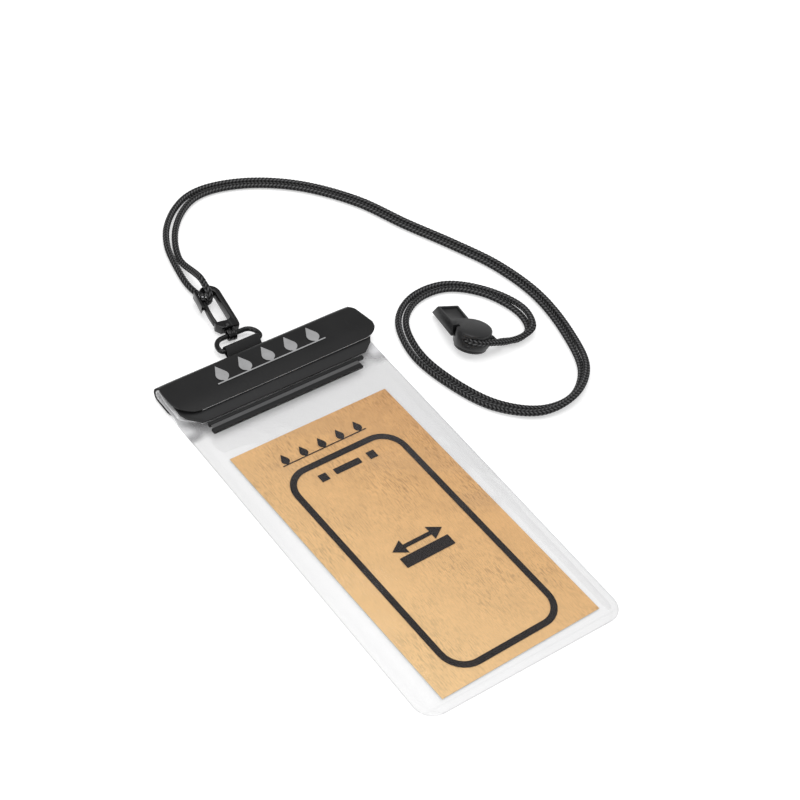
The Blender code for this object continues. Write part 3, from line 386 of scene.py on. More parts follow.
class Tree:
    """Adds and joins the nodes of one shader tree."""

    def __init__(self, tree: Shader) -> None:
        """Keep the tree that nodes are added to."""
        self.tree = tree

    def feed(self, node: Node, inputs: dict) -> Node:
        """Give a node's inputs what they need.

        Args:
            node: The node.
            inputs: Values or sockets, by name or number.

        Returns:
            The node.
        """
        for name, value in inputs.items():
            if isinstance(value, Socket):
                self.tree.links.new(value, node.inputs[name])
            else:
                node.inputs[name].default_value = value
        return node

    def add(self, kind: str, inputs: dict | None = None, **settings: object) -> Node:
        """Add a node.

        Args:
            kind: Its type, without the ShaderNode prefix.
            inputs: Values or sockets for its inputs, by name or number.
            **settings: Values for its properties.

        Returns:
            The node.
        """
        node = self.tree.nodes.new("ShaderNode" + kind)
        for name, value in settings.items():
            setattr(node, name, value)
        return self.feed(node, inputs or {})

    def group(self, group: Shader, inputs: dict) -> bpy.types.NodeOutputs:
        """Outputs of a shared group with values of its own."""
        return self.add("Group", inputs, node_tree=group).outputs

    def place(self) -> Socket:
        """Object coordinates."""
        return self.add("TexCoord").outputs["Object"]

    def stored(self, title: str) -> Socket:
        """A value that the mesh stores."""
        return self.add("Attribute", attribute_name=title).outputs["Fac"]

    def rays(self, *kinds: str) -> Socket:
        """Tell rays of some kinds from the rest.

        Args:
            *kinds: The kinds, such as Camera.

        Returns:
            A socket that is 1 for them and otherwise 0.
        """
        path = self.add("LightPath").outputs
        level = path[f"Is {kinds[0]} Ray"]
        for kind in kinds[1:]:
            level = self.math("MAXIMUM", level, path[f"Is {kind} Ray"])
        return level

    def math(self, operation: str, a: object, b: object, clamp: bool = False) -> Socket:
        """Output of a Math node on two values or sockets."""
        return self.add("Math", {0: a, 1: b}, operation=operation, use_clamp=clamp).outputs[0]

    def plus(self, a: object, b: object, clamp: bool = False) -> Socket:
        """Sum of two values or sockets."""
        return self.math("ADD", a, b, clamp)

    def times(self, a: object, b: object, clamp: bool = False) -> Socket:
        """Product of two values or sockets."""
        return self.math("MULTIPLY", a, b, clamp)

    def mix(self, factor: object, a: Point | Socket, b: Point) -> Socket:
        """Blend from a colour or socket to a colour."""
        first = a if isinstance(a, Socket) else (*a, 1.0)
        return self.add("Mix", {0: factor, 6: first, 7: (*b, 1.0)}, data_type="RGBA").outputs[2]

    def remap(self, value: object, low: float, high: float, to_low: float = 0.0,
              to_high: float = 1.0) -> Socket:
        """Output of a Map Range node, held to its new limits."""
        return self.add("MapRange", {0: value, 1: low, 2: high, 3: to_low, 4: to_high}).outputs[0]

    def noise(self, place: Socket, scale: object, detail: float, rough: float = 0.5,
              twist: float = 0.0) -> Socket:
        """Value of a Noise node.

        Args:
            place: Its coordinates.
            scale: Its scale, a value or a socket.
            detail: Octaves.
            rough: Share of the finer octaves.
            twist: Distortion.

        Returns:
            The value.
        """
        return self.add("TexNoise", {"Vector": place, "Scale": scale, "Detail": detail, "Roughness": rough,
                                     "Distortion": twist}).outputs[0]

    def drawn(self, place: Socket, scale: Point, turn: float = 0.0) -> Socket:
        """Coordinates scaled, then turned about Z in radians, which draws a pattern out."""
        return self.add("Mapping", {"Vector": place, "Rotation": (0.0, 0.0, turn), "Scale": scale}).outputs[0]

    def bump(self, strength: float, distance: float, height: Socket) -> Socket:
        """Normal of a Bump node."""
        return self.add("Bump", {"Strength": strength, "Distance": distance, "Height": height}).outputs[0]


def new_group(title: str, dial: str, level: float,
              outputs: tuple[str, str]) -> tuple[Tree, Socket, Socket, Node]:
    """A shader group with a vector, one dial and float outputs.

    Args:
        title: Its name.
        dial: Name of its float input.
        level: First value of the dial.
        outputs: Names of its outputs.

    Returns:
        Its tree, its vector and its dial inside, and its output node.
    """
    group = bpy.data.node_groups.new(title, "ShaderNodeTree")
    group.interface.new_socket(name="Vector", in_out="INPUT", socket_type="NodeSocketVector")
    knob = group.interface.new_socket(name=dial, in_out="INPUT", socket_type="NodeSocketFloat")
    knob.default_value = level
    for name in outputs:
        group.interface.new_socket(name=name, in_out="OUTPUT", socket_type="NodeSocketFloat")
    given = group.nodes.new("NodeGroupInput").outputs
    return Tree(group), given["Vector"], given[dial], group.nodes.new("NodeGroupOutput")


def grain_group() -> Shader:
    """Fine pebbled grain of a moulded or calendered plastic: its height and a tone that varies.

    Returns:
        The group.
    """
    tree, place, scale, result = new_group("moulded_grain", "Scale", 1500.0, ("Height", "Tone"))
    cells = tree.add("TexVoronoi", {"Vector": place, "Scale": scale}, feature="SMOOTH_F1")
    height = tree.plus(tree.times(cells.outputs["Distance"], 0.6),
                       tree.times(tree.noise(place, scale, 3.0, 0.6), 0.5))
    tree.feed(result, {"Height": height, "Tone": tree.remap(tree.noise(place, 55.0, 4.0), 0.35, 0.65)})
    return tree.tree


def rub_group() -> Shader:
    """Handling marks: thin scuffs in patches, and specks of dust.

    Returns:
        The group.
    """
    tree, place, amount, result = new_group("handling_rub", "Amount", 0.3, ("Scuff", "Dust"))
    lines = tree.noise(tree.drawn(place, (900.0, 90.0, 300.0), 0.6), 1.0, 2.0)
    patch = tree.remap(tree.noise(place, 70.0, 3.0), 0.50, 0.62)
    specks = tree.add("TexVoronoi", {"Vector": place, "Scale": 420.0}).outputs["Distance"]
    tree.feed(result, {"Scuff": tree.times(tree.times(tree.remap(lines, 0.62, 0.70), patch), amount, True),
                       "Dust": tree.times(tree.remap(specks, 0.16, 0.08), amount, True)})
    return tree.tree


def wave_group() -> Shader:
    """Soft waves of a thin film, with a cloudy mask.

    Returns:
        The group.
    """
    tree, place, scale, result = new_group("film_waves", "Scale", 28.0, ("Height", "Cloud"))
    broad = tree.noise(tree.drawn(place, (1.0, 0.45, 1.0)), scale, 2.0, twist=0.6)
    tree.feed(result, {"Height": tree.plus(broad, tree.times(tree.noise(place, 160.0, 2.0), 0.08)),
                       "Cloud": tree.remap(broad, 0.4, 0.62)})
    return tree.tree


# Finishes

@dataclass(frozen=True)
class Finish:
    """A surface with one Principled shader; each kind says what feeds it."""

    title: str

    def inputs(self, tree: Tree, groups: Groups) -> dict[str, object]:
        """Values and sockets for the shader.

        Args:
            tree: The material's tree.
            groups: The shared groups.

        Returns:
            What each named input gets.
        """
        raise NotImplementedError

    def make(self, groups: Groups) -> Material:
        """Build the material.

        Args:
            groups: The shared groups.

        Returns:
            The material.
        """
        material = bpy.data.materials.new(self.title)
        material.use_nodes = True
        material.node_tree.nodes.clear()
        tree = Tree(material.node_tree)
        shader = tree.add("BsdfPrincipled", self.inputs(tree, groups))
        tree.add("OutputMaterial", {0: shader.outputs[0]})
        return material


@dataclass(frozen=True)
class Moulding(Finish):
    """A plastic with fine grain, uneven gloss and marks from handling."""

    colour: Point
    rubbed: Point
    gloss: Gloss
    grain: float
    depth: float
    rub: float
    specular: float = 0.5
    coat: float = 0.0

    def inputs(self, tree: Tree, groups: Groups) -> dict[str, object]:
        """Feed the shader from the grain and handling groups.

        Args:
            tree: The material's tree.
            groups: The shared groups.

        Returns:
            What each named input gets.
        """
        place = tree.place()
        grained = tree.group(groups["grain"], {"Vector": place, "Scale": self.grain})
        marks = tree.group(groups["rub"], {"Vector": place, "Amount": self.rub})
        worn = tree.plus(tree.times(marks["Scuff"], 0.7), tree.times(marks["Dust"], 0.3), True)
        toned = tree.mix(tree.times(grained["Tone"], 0.35), self.colour, tuple(c * 1.5 for c in self.colour))
        rough = tree.remap(grained["Tone"], 0.0, 1.0, self.gloss.value - 0.05, self.gloss.value + 0.06)
        return {"Base Color": tree.mix(worn, toned, self.rubbed),
                "Roughness": tree.plus(rough, tree.times(worn, 0.15)),
                "Normal": tree.bump(self.depth * 10, 0.00006, grained["Height"]),
                "Specular IOR Level": self.specular, "Coat Weight": self.coat, "Coat Roughness": 0.12}


@dataclass(frozen=True)
class ClearFilm(Finish):
    """Clear soft film: see-through face on, brighter where it is seen edge on, hazy at its welds, with a painted
    dark outline along its edges and a painted highlight where it curls at the neck.
    """

    tint: Point = (0.16, 0.155, 0.165)
    # Pale colour of the painted highlight on the curl.
    pale: Point = (0.95, 0.95, 0.96)
    body: float = 0.033
    weld: float = 0.08

    def inputs(self, tree: Tree, groups: Groups) -> dict[str, object]:
        """Feed the shader from the wave group and the sheet's weld and curl values.

        Args:
            tree: The material's tree.
            groups: The shared groups.

        Returns:
            What each named input gets.
        """
        waved = tree.group(groups["waves"], {"Vector": tree.place(), "Scale": 26.0})
        weld, curl = tree.stored("weld"), tree.stored("curl")
        normal = tree.bump(0.16, 0.0010, waved["Height"])
        edge = tree.add("Fresnel", {"IOR": 1.45, "Normal": normal}).outputs[0]
        # The weld value brings hazy welds and a faint crease, and also the painted dark outline along the film's
        # edge.
        haze = tree.plus(tree.times(waved["Cloud"], 0.003), tree.times(weld, self.weld))
        # Painted highlight: where the film curls at the neck, its colour goes pale and glints and white streaks
        # are painted in, for light caught on the curl.
        shine = tree.times(edge, tree.remap(curl, 0.0, 1.0, 0.10, 1.0))
        painted_curl_streaks = tree.times(curl, tree.remap(waved["Cloud"], 0.40, 0.62, 0.04, 0.46))
        return {"Base Color": tree.mix(curl, self.tint, self.pale),
                "Alpha": tree.plus(haze, tree.plus(tree.plus(shine, painted_curl_streaks), self.body), True),
                "Normal": normal, "Roughness": tree.plus(tree.times(weld, 0.2), 0.07),
                "Specular IOR Level": 0.6, "Coat Weight": 0.6, "Coat Roughness": 0.04}


@dataclass(frozen=True)
class KraftBoard(Finish):
    """Brown board: long fibres, dark flecks and soft cloudy tone, with a painted pool of light that makes it paler
    toward the left.
    """

    dark: Point = (0.55, 0.287, 0.102)
    light: Point = (0.85, 0.470, 0.188)
    fleck: Point = (0.36, 0.17, 0.055)
    painted_light_pool: Point = (1.0, 0.80, 0.46)

    def inputs(self, tree: Tree, groups: Groups) -> dict[str, object]:
        """Feed the shader on the sheet's UV map, in metres.

        Args:
            tree: The material's tree.
            groups: The shared groups.

        Returns:
            What each named input gets.
        """
        place = tree.add("UVMap", uv_map="sheet").outputs[0]
        fibre, cross, dashes, ticks = (
            tree.noise(tree.drawn(place, (across, along, 1.0), turn), 1.0, detail, 0.65)
            for turn, across, along, detail in ((0.05, 2200.0, 420.0, 5.0), (1.6, 2000.0, 420.0, 4.0),
                                                (0.03, 1900.0, 170.0, 1.0), (1.55, 1900.0, 400.0, 1.0)))
        cloud = tree.noise(place, 70.0, 5.0, 0.7)
        threads = tree.plus(tree.times(tree.remap(fibre, 0.3, 0.7), 0.36),
                            tree.times(tree.remap(cross, 0.3, 0.7), 0.22))
        shade = tree.plus(threads, tree.times(tree.remap(cloud, 0.3, 0.7), 0.50), True)
        marks = tree.plus(tree.remap(dashes, 0.55, 0.61, 0.0, 0.78),
                          tree.remap(ticks, 0.57, 0.63, 0.0, 0.62), True)
        marked = tree.times(marks, tree.remap(tree.noise(place, 26.0, 1.0), 0.38, 0.62, 0.25, 1.0))
        flecked = tree.mix(marked, tree.mix(shade, self.dark, self.light), self.fleck)
        # Painted light: the board is mixed toward a pale colour toward the left, for a pool of light and the
        # film's sheen there.
        split = tree.add("SeparateXYZ", {"Vector": tree.place()}).outputs
        sideways = tree.plus(split[0], tree.times(split[1], 0.6))
        return {"Base Color": tree.mix(tree.remap(sideways, -0.111, 0.083, 0.42, 0.0), flecked, self.painted_light_pool),
                "Roughness": tree.remap(cloud, 0.3, 0.7, 0.72, 0.86),
                "Normal": tree.bump(0.25, 0.00008, threads), "Specular IOR Level": 0.3}


@dataclass(frozen=True)
class Ink(Finish):
    """Printed ink with pinholes where the ground shows through."""

    colour: Point
    ground: Point
    wear: float

    def inputs(self, tree: Tree, groups: Groups) -> dict[str, object]:
        """Feed the shader on Object coordinates.

        Args:
            tree: The material's tree.
            groups: The shared groups.

        Returns:
            What each named input gets.
        """
        place = tree.place()
        fine, broad = tree.noise(place, 1300.0, 3.0, 0.7), tree.noise(place, 120.0, 2.0)
        cloudy = tree.mix(tree.remap(broad, 0.35, 0.65), self.colour, tuple(c * 0.86 for c in self.colour))
        holes = tree.times(tree.remap(fine, 0.60, 0.72), self.wear, True)
        rough = Gloss.SOFT.value
        return {"Base Color": tree.mix(holes, cloudy, self.ground),
                "Roughness": tree.remap(broad, 0.3, 0.7, rough, rough + 0.12),
                "Normal": tree.bump(0.15, 0.00003, fine), "Specular IOR Level": 0.12}


@dataclass(frozen=True)
class BraidedYarn(Finish):
    """Black polyester yarn: light on the crowns of the strands, with fibres along them."""

    deep: Point = (0.0010, 0.0010, 0.0011)
    crown: Point = (0.22, 0.22, 0.224)

    def inputs(self, tree: Tree, groups: Groups) -> dict[str, object]:
        """Feed the shader on the cord's UV map and its crown values.

        Args:
            tree: The material's tree.
            groups: The shared groups.

        Returns:
            What each named input gets.
        """
        place = tree.add("UVMap", uv_map="sheet").outputs[0]
        fibre = tree.noise(tree.drawn(place, (60.0, 7000.0, 1.0), 0.5), 1.0, 3.0)
        # Painted highlight: the crown value lightens the yarn where the strands would catch the light.
        lit = tree.times(tree.stored("crown"), tree.remap(fibre, 0.3, 0.7, 0.55, 1.0), True)
        return {"Base Color": tree.mix(lit, self.deep, self.crown),
                "Roughness": tree.remap(tree.noise(tree.place(), 60.0, 3.0), 0.3, 0.7, 0.55, 0.7),
                "Normal": tree.bump(0.5, 0.00006, fibre), "Specular IOR Level": 0.06}


@dataclass(frozen=True)
class Backdrop(Finish):
    """Pale floor that glows a little to the camera, so that it is white where nothing shades it."""

    glow: float

    def inputs(self, tree: Tree, groups: Groups) -> dict[str, object]:
        """Feed the shader from the kind of ray.

        Args:
            tree: The material's tree.
            groups: The shared groups.

        Returns:
            What each named input gets.
        """
        seen = tree.rays("Camera", "Glossy", "Transmission")
        return {"Base Color": (0.82, 0.82, 0.82, 1.0), "Roughness": 0.9, "Specular IOR Level": 0.0,
                "Emission Color": (1.0, 1.0, 1.0, 1.0), "Emission Strength": tree.times(seen, self.glow)}


def grey(level: float, blue: float = 0.0) -> Point:
    """A grey, with a trace more blue."""
    return level, level, level + blue


PALETTE = {
    "vinyl": Moulding("satin_vinyl", grey(0.0090, 0.0003), grey(0.05), Gloss.SATIN, 1500.0, 0.035, 0.12, 0.22),
    "panel": Moulding("panel_vinyl", grey(0.0125, 0.0005), grey(0.06), Gloss.SOFT, 1200.0, 0.04, 0.15, 0.3),
    # Painted highlight: a pale grey on the rim of the flap's lip, for the light its edge catches.
    "cut_edge": Moulding("vinyl_painted_lip_highlight", grey(0.50, 0.01), grey(0.6), Gloss.SATIN, 1800.0, 0.02, 0.1),
    "clasp": Moulding("clasp_black", grey(0.004, 0.0003), grey(0.06), Gloss.POLISHED, 1100.0, 0.012, 0.25,
                      0.3, 0.05),
    "whistle": Moulding("whistle_black", grey(0.010, 0.0005), grey(0.08), Gloss.SATIN, 1900.0, 0.05, 0.3, 0.42),
    "steel": Moulding("pin_steel", grey(0.30, 0.01), grey(0.5), Gloss.POLISHED, 900.0, 0.01, 0.3),
    "zip": Moulding("zip_black", grey(0.008, 0.0003), grey(0.05), Gloss.SOFT, 1300.0, 0.03, 0.15, 0.25),
    "tape": Moulding("zip_tape", grey(0.070, 0.001), grey(0.14), Gloss.SOFT, 1600.0, 0.05, 0.2),
    "pad": Moulding("touch_pad", grey(0.012), grey(0.05), Gloss.MATT, 2600.0, 0.12, 0.1),
    "film": ClearFilm("clear_film"),
    "board": KraftBoard("kraft_board"),
    "board_edge": Ink("kraft_cut_edge", (0.86, 0.72, 0.50), (0.60, 0.40, 0.20), 0.4),
    "card_ink": Ink("card_ink", (0.016, 0.013, 0.012), (0.16, 0.09, 0.04), 0.5),
    "flap_ink": Ink("flap_ink", grey(0.34, 0.005), grey(0.05), 0.35),
    "yarn": BraidedYarn("braided_yarn"),
    "floor": Backdrop("studio_floor", 0.37),
}


@dataclass
class Assembly:
    """Pieces that are modelled together, in finishes given by name."""

    looks: dict[str, Material]

    def clothe(self, piece: Piece, *names: str) -> None:
        """Give a piece its finishes.

        Args:
            piece: The piece.
            *names: The finishes, the first for every face that has none of its own.
        """
        piece.data.materials.clear()
        for name in names:
            piece.data.materials.append(self.looks[name])

    def repaint(self, name: str, *nodes: str) -> None:
        """Give a finish to every slot of CAD nodes whose shape stays.

        Args:
            name: The finish.
            *nodes: The nodes.
        """
        for node in nodes:
            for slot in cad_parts[node].material_slots:
                slot.material = self.looks[name]
            LOG.info("%s: kept, with %s", node, name)

    def thicken(self, sheet: Piece, thick: float, *names: str, offset: float = 0.0) -> None:
        """Clothe a sheet and give it a wall.

        Args:
            sheet: The sheet.
            thick: Its thickness in millimetres.
            *names: Its finishes, a second one for its rim.
            offset: Which side the wall grows to, 0 for both.
        """
        self.clothe(sheet, *names)
        wall = sheet.modifiers.new("wall", "SOLIDIFY")
        wall.thickness, wall.offset, wall.material_offset_rim = thick * MM, offset, len(names) - 1
        apply_modifiers(sheet)

    def report(self, piece: Piece, node: str, body: Body = Body.POUCH, replaces: bool = True) -> None:
        """Let a piece ride on its body and the CAD node it stands for, and log it.

        Args:
            piece: The piece.
            node: The CAD node, hidden when the piece takes its place.
            body: The body it moves with.
            replaces: Whether the piece takes the node's place.
        """
        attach(piece, body.value)
        if replaces:
            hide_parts(node)
        LOG.info("%s: %d faces, rides on %s", piece.name, len(piece.data.polygons), body.value)


# Camera and studio

@dataclass
class Studio(Assembly):
    """The photograph's camera, a pale floor and plain soft lamps."""

    lens: float = 83.77
    at: Point = (-0.42777, -0.41410, 0.66017)
    right: Point = (0.78999, -0.59405, 0.15173)
    down: Point = (-0.34350, -0.63381, -0.69303)
    ahead: Point = (0.50786, 0.49537, -0.70476)
    aim: Point = (0.03, 0.05, 0.0)
    world_level: float = 0.56
    mirror_level: float = 0.5
    lamps: tuple[tuple[str, Point, float, float], ...] = (
        ("lamp_overhead", (0.06, 0.22, 1.30), 1.1, 7.0), ("lamp_left", (-1.10, 0.10, 0.70), 0.6, 3.0),
        ("lamp_right", (1.15, -0.35, 0.80), 0.5, 2.5), ("lamp_near", (-0.25, -0.21, 0.30), 0.16, 0.45))

    def camera(self) -> None:
        """Stand the camera where the photograph was taken, for a square frame of 800 pixels."""
        data = bpy.data.cameras.new("camera")
        data.lens, data.sensor_width, data.clip_start, data.clip_end = self.lens, 36.0, 0.01, 20.0
        camera = new_object("camera", data)
        turn = Matrix((Vector(self.right), -Vector(self.down), -Vector(self.ahead))).transposed().to_4x4()
        camera.matrix_world = Matrix.Translation(self.at) @ turn
        bpy.context.scene.camera = camera

    def lamp(self, title: str, at: Point, size: float, watts: float) -> None:
        """A square soft lamp aimed at the middle of the pouch.

        Args:
            title: Its name.
            at: Its place in metres.
            size: Its side in metres.
            watts: Its power.
        """
        data = bpy.data.lights.new(title, "AREA")
        data.shape, data.size, data.energy = "SQUARE", size, watts
        lamp = new_object(title, data)
        lamp.visible_camera = False
        lamp.location = at
        lamp.rotation_euler = (Vector(self.aim) - Vector(at)).to_track_quat("-Z", "Y").to_euler()

    def world(self) -> None:
        """White to the camera, and softer levels in reflections and for the light itself."""
        world = bpy.data.worlds.new("studio")
        bpy.context.scene.world = world
        world.use_nodes = True
        world.node_tree.nodes.clear()
        tree = Tree(world.node_tree)
        unseen = tree.remap(tree.rays("Glossy"), 0.0, 1.0, self.world_level, self.mirror_level)
        level = tree.math("MAXIMUM", tree.rays("Camera", "Transmission"), unseen)
        ground = tree.add("Background", {"Color": (1.0, 1.0, 1.0, 1.0), "Strength": level})
        tree.add("OutputWorld", {0: ground.outputs[0]})

    def floor(self) -> None:
        """A pale floor that keeps the pouch's shadow."""
        bpy.ops.object.select_all(action="DESELECT")
        bpy.ops.mesh.primitive_plane_add(size=3.2, location=(0.0, 0.0, -0.00005))
        floor = bpy.context.object
        settle(floor, "studio_floor", (1.0, 1.0, 1.0))
        self.clothe(floor, "floor")

    def build(self) -> None:
        """Set up the camera, the floor, the world and the lamps."""
        self.camera()
        self.world()
        self.floor()
        for lamp in self.lamps:
            self.lamp(*lamp)
        bpy.context.scene.view_settings.view_transform = "Standard"


# Places shared with the solids

@dataclass(frozen=True)
class Frames:
    """Places of the tab's hinge, the hook and the whistle, as in the part's source."""

    tab_axis: Point = (-2.7, 118.2, 3.4)
    tab_turn: float = 1.7
    hook_foot: Point = (-3.033, 129.838, 3.718)
    hook_right: Point = (0.987688, -0.156434, 0.0)
    hook_along: Point = (0.155714, 0.983141, 0.095846)
    whistle_at: Point = (102.7, 62.0, 2.5)
    whistle_lean: float = 14.5
    whistle_toward: float = 44.0
    whistle_yaw: float = -16.0

    def tab(self) -> Matrix:
        """Frame of the ring's hinge, X along its bar, in metres."""
        return Matrix.Translation(mm(self.tab_axis)) @ Matrix.Rotation(math.radians(self.tab_turn), 4, "Z")

    def on_hook(self, point: Point) -> Vector:
        """A point on the hook, placed in the world.

        Args:
            point: Millimetres u along the hook, v across it and w up from it.

        Returns:
            The point in millimetres.
        """
        right, along = Vector(self.hook_right), Vector(self.hook_along)
        turn = Matrix((right, along, right.cross(along))).transposed().to_4x4()
        u, v, w = point
        return Matrix.Translation(mm(self.hook_foot)) @ turn @ mm((v, u, w)) / MM

    def drum(self) -> Matrix:
        """Frame of the leaning drum, its axis Z and its underside at zero.

        Returns:
            Its matrix in metres.
        """
        toward = math.radians(self.whistle_toward)
        tip = Vector((-math.sin(toward), math.cos(toward), 0.0))
        lean = Matrix.Rotation(math.radians(self.whistle_lean), 4, tip)
        return Matrix.Translation(mm(self.whistle_at)) @ lean

    def whistle(self) -> Matrix:
        """The drum's frame, turned so that the mouthpiece points along Y."""
        return self.drum() @ Matrix.Rotation(math.radians(self.whistle_yaw), 4, "Z")


@dataclass(frozen=True)
class Neck:
    """Heights and places of the folded stack at the pouch's mouth, as in the part's source."""

    skew: float = 0.0297
    skew_start: float = 66.0
    skew_end: float = 88.5
    step_end: float = 94.0
    film_low: float = 2.1
    roll_y: float = 108.05
    roll_radius: float = 2.6
    roll_top: float = 7.3
    neck_top: float = 5.3
    mouth_top: float = 4.3
    leaf_low: float = 1.0
    fold_y: float = 112.0
    flap_turn: float = 3.9
    flap_top: float = 8.8
    lip_rise: float = 99.4
    lip_run: float = 12.2
    lip_drop: float = 1.1

    def skewed(self, x: float, y: float) -> float:
        """Shift y with x, as the neck lies a little out of square."""
        return y + self.skew * x * smooth_step((y - self.skew_start) / (self.skew_end - self.skew_start))

    def film_path(self) -> FoldPath:
        """Back face of the bag, from its bottom edge round the roll to its mouth.

        Returns:
            Its line.
        """
        start, end = self.skew_end, self.step_end
        points = [(-112.0, 0.0), (61.0, 0.0), (67.0, 0.0), (start, 0.0)]
        points += slope((start, 0.0), (end, self.film_low), 6)
        points.append((self.roll_y - 4.0, self.film_low))
        points += arc((self.roll_y, self.film_low + self.roll_radius), self.roll_radius, -90, 90, 20)
        points += slope((self.roll_y, self.roll_top), (self.roll_y - 7.5, self.neck_top), 6)
        points.append((end, self.neck_top))
        points += slope((end, self.neck_top), (start, self.mouth_top), 4)
        points.append((82.0, self.mouth_top))
        return FoldPath(points)

    def flap_path(self) -> FoldPath:
        """Outer face of the flap, from its lower leaf round the fold to its lip.

        Returns:
            Its line.
        """
        middle = self.fold_y - self.flap_turn
        points = [(95.0, self.leaf_low), (middle - 3.0, self.leaf_low)]
        points += arc((middle, self.leaf_low + self.flap_turn), self.flap_turn, -90, 90, 24)
        points += [(self.lip_rise - self.lip_run * i / 8, self.flap_top - self.lip_drop * (i / 8) ** 3)
                   for i in range(9)]
        return FoldPath(points)


FRAMES = Frames()
NECK = Neck()


# Lanyard

@dataclass
class Lanyard(Assembly):
    """The doubled neck cord: one braided cord that turns round the clasp and meets itself in the whistle.

    The route's rows give x, y, how far apart its two runs lie, and how far the outer run is lifted.
    """

    diameter: float = 3.5
    clear: float = 0.2
    sunk: float = 0.08
    meeting: float = 0.3
    path_step: float = 4.0
    columns: int = 6
    pitch: float = 2.1
    slope: float = 0.85
    sides: int = 30
    step: float = 0.52
    crown: float = 0.30
    route: tuple[tuple[float, float, float, float], ...] = (
        (2.9, 189.5, 3.7, 0.0), (6.4, 199.5, 4.4, 0.0), (13.5, 211.2, 4.8, 0.0), (24.7, 222.0, 4.6, 0.0),
        (37.1, 228.6, 4.2, 0.0), (51.3, 230.0, 3.8, 0.0), (74.0, 224.1, 3.8, 0.0), (97.4, 209.4, 3.8, 0.0),
        (118.4, 184.4, 3.8, 0.0), (131.5, 156.2, 3.8, 0.0), (145.2, 129.8, 3.8, 0.0), (156.0, 105.0, 3.8, 0.0),
        (161.0, 76.0, 3.8, 0.0), (156.8, 45.6, 4.0, 0.0), (145.0, 18.8, 2.4, 2.9), (126.8, 6.6, 1.9, 3.2),
        (106.0, 7.4, 3.6, 1.2), (87.5, 22.5, 3.9, 0.0), (76.6, 48.8, 4.1, 0.0), (74.3, 72.3, 4.4, 0.0),
        (82.5, 94.5, 4.0, 0.0), (98.9, 105.2, 3.8, 0.0), (120.0, 104.8, 3.8, 0.0), (137.0, 91.0, 3.9, 0.0),
        (143.9, 69.4, 2.6, 2.7), (139.6, 56.6, 2.0, 3.1), (130.2, 53.4, 1.9, 3.2))
    whistle_in: tuple[Point, ...] = (
        (121.5, 52.2, 6.2), (115.5, 52.0, 7.9), (108.9, 52.8, 9.8), (103.2, 53.7, 11.1))
    whistle_pass: tuple[Point, ...] = (
        (-5.2, -8.0, 7.4), (-7.0, -4.4, 7.3), (-6.6, -0.4, 7.2), (-3.2, 2.2, 7.1), (1.2, 2.0, 7.0),
        (4.8, -0.9, 6.9), (7.2, -5.2, 6.8))
    whistle_out: tuple[Point, ...] = ((114.2, 55.6, 5.6), (119.5, 56.3, 3.0))
    join: int = 8
    over_run: tuple[Point, ...] = ((3.6, 183.5, 3.0), (3.1, 177.0, 5.0), (2.4, 171.0, 7.4))
    hook_turn: tuple[Point, ...] = (
        (31.8, -2.2, 5.4), (28.2, -1.8, 4.9), (25.0, -1.4, 4.5), (22.8, -1.2, 2.7), (22.2, -1.1, 0.0),
        (22.8, -1.4, -2.6), (25.0, -2.0, -4.22), (29.5, -3.1, -4.55))
    under_run: tuple[Point, ...] = ((-2.4, 167.0, 2.1), (-2.2, 172.5, 2.0), (-1.1, 179.5, 2.0))

    def knots(self) -> list[Vector]:
        """The route's points in millimetres, from the whistle round the clasp and back.

        Returns:
            The points.
        """
        middle = [Vector((x, y, self.diameter / 2 + self.clear)) for x, y, _, _ in self.route]
        outer, inner = [], []
        for i, (_, _, apart, lift) in enumerate(self.route):
            ahead = middle[min(i + 1, len(middle) - 1)] - middle[max(i - 1, 0)]
            side = Vector((-ahead.y, ahead.x, 0.0)).normalized() * apart / 2
            outer.append(middle[i] + side + Vector((0.0, 0.0, lift)))
            inner.append(middle[i] - side)
        clasp = [Vector(p) for p in self.over_run] + [FRAMES.on_hook(p) for p in self.hook_turn]
        clasp += [Vector(p) for p in self.under_run]
        turn = [Vector(p) for p in self.whistle_in] + [FRAMES.drum() @ mm(p) / MM for p in self.whistle_pass]
        turn += [Vector(p) for p in self.whistle_out]
        before, after = turn[self.join - 1], turn[self.join]
        meet, slack = before.lerp(after, 0.5), (after - before).normalized() * self.meeting
        run = turn[self.join:] + inner[::-1] + clasp + outer + turn[:self.join]
        return [meet + slack] + run + [meet - slack]

    def fine_line(self) -> list[Vector]:
        """A dense centripetal spline through the knots, in millimetres.

        Returns:
            Its points.
        """
        def blend(p: Vector, q: Vector, start: float, end: float) -> Vector:
            """Point at the time t on the way from p to q."""
            return p * ((end - t) / (end - start)) + q * ((t - start) / (end - start))

        knots = self.knots()
        knots = [knots[0] * 2 - knots[1]] + knots + [knots[-1] * 2 - knots[-2]]
        fine = []
        for p0, p1, p2, p3 in zip(knots, knots[1:], knots[2:], knots[3:]):
            times = [0.0]
            for a, b in ((p0, p1), (p1, p2), (p2, p3)):
                times.append(times[-1] + max(1e-6, (b - a).length) ** 0.5)
            t0, t1, t2, t3 = times
            count = max(24, int((p2 - p1).length * 4))
            for i in range(count):
                t = t1 + (t2 - t1) * i / count
                middle = blend(p1, p2, t1, t2)
                first = blend(blend(p0, p1, t0, t1), middle, t0, t2)
                fine.append(blend(first, blend(middle, blend(p2, p3, t2, t3), t1, t3), t1, t2))
        fine.append(knots[-2])
        return fine

    def even_line(self, step: float) -> list[Vector]:
        """Points at an even spacing along the spline.

        Args:
            step: Spacing in millimetres.

        Returns:
            The points.
        """
        fine = self.fine_line()
        total = sum((b - a).length for a, b in zip(fine, fine[1:]))
        count = round(total / step)
        step = total / count
        kept, gone, due = [fine[0]], 0.0, step
        for a, b in zip(fine, fine[1:]):
            span = (b - a).length
            while span > 0 and due <= gone + span + 1e-9 and len(kept) < count:
                kept.append(a.lerp(b, (due - gone) / span))
                due += step
            gone += span
        kept.append(fine[-1])
        return kept

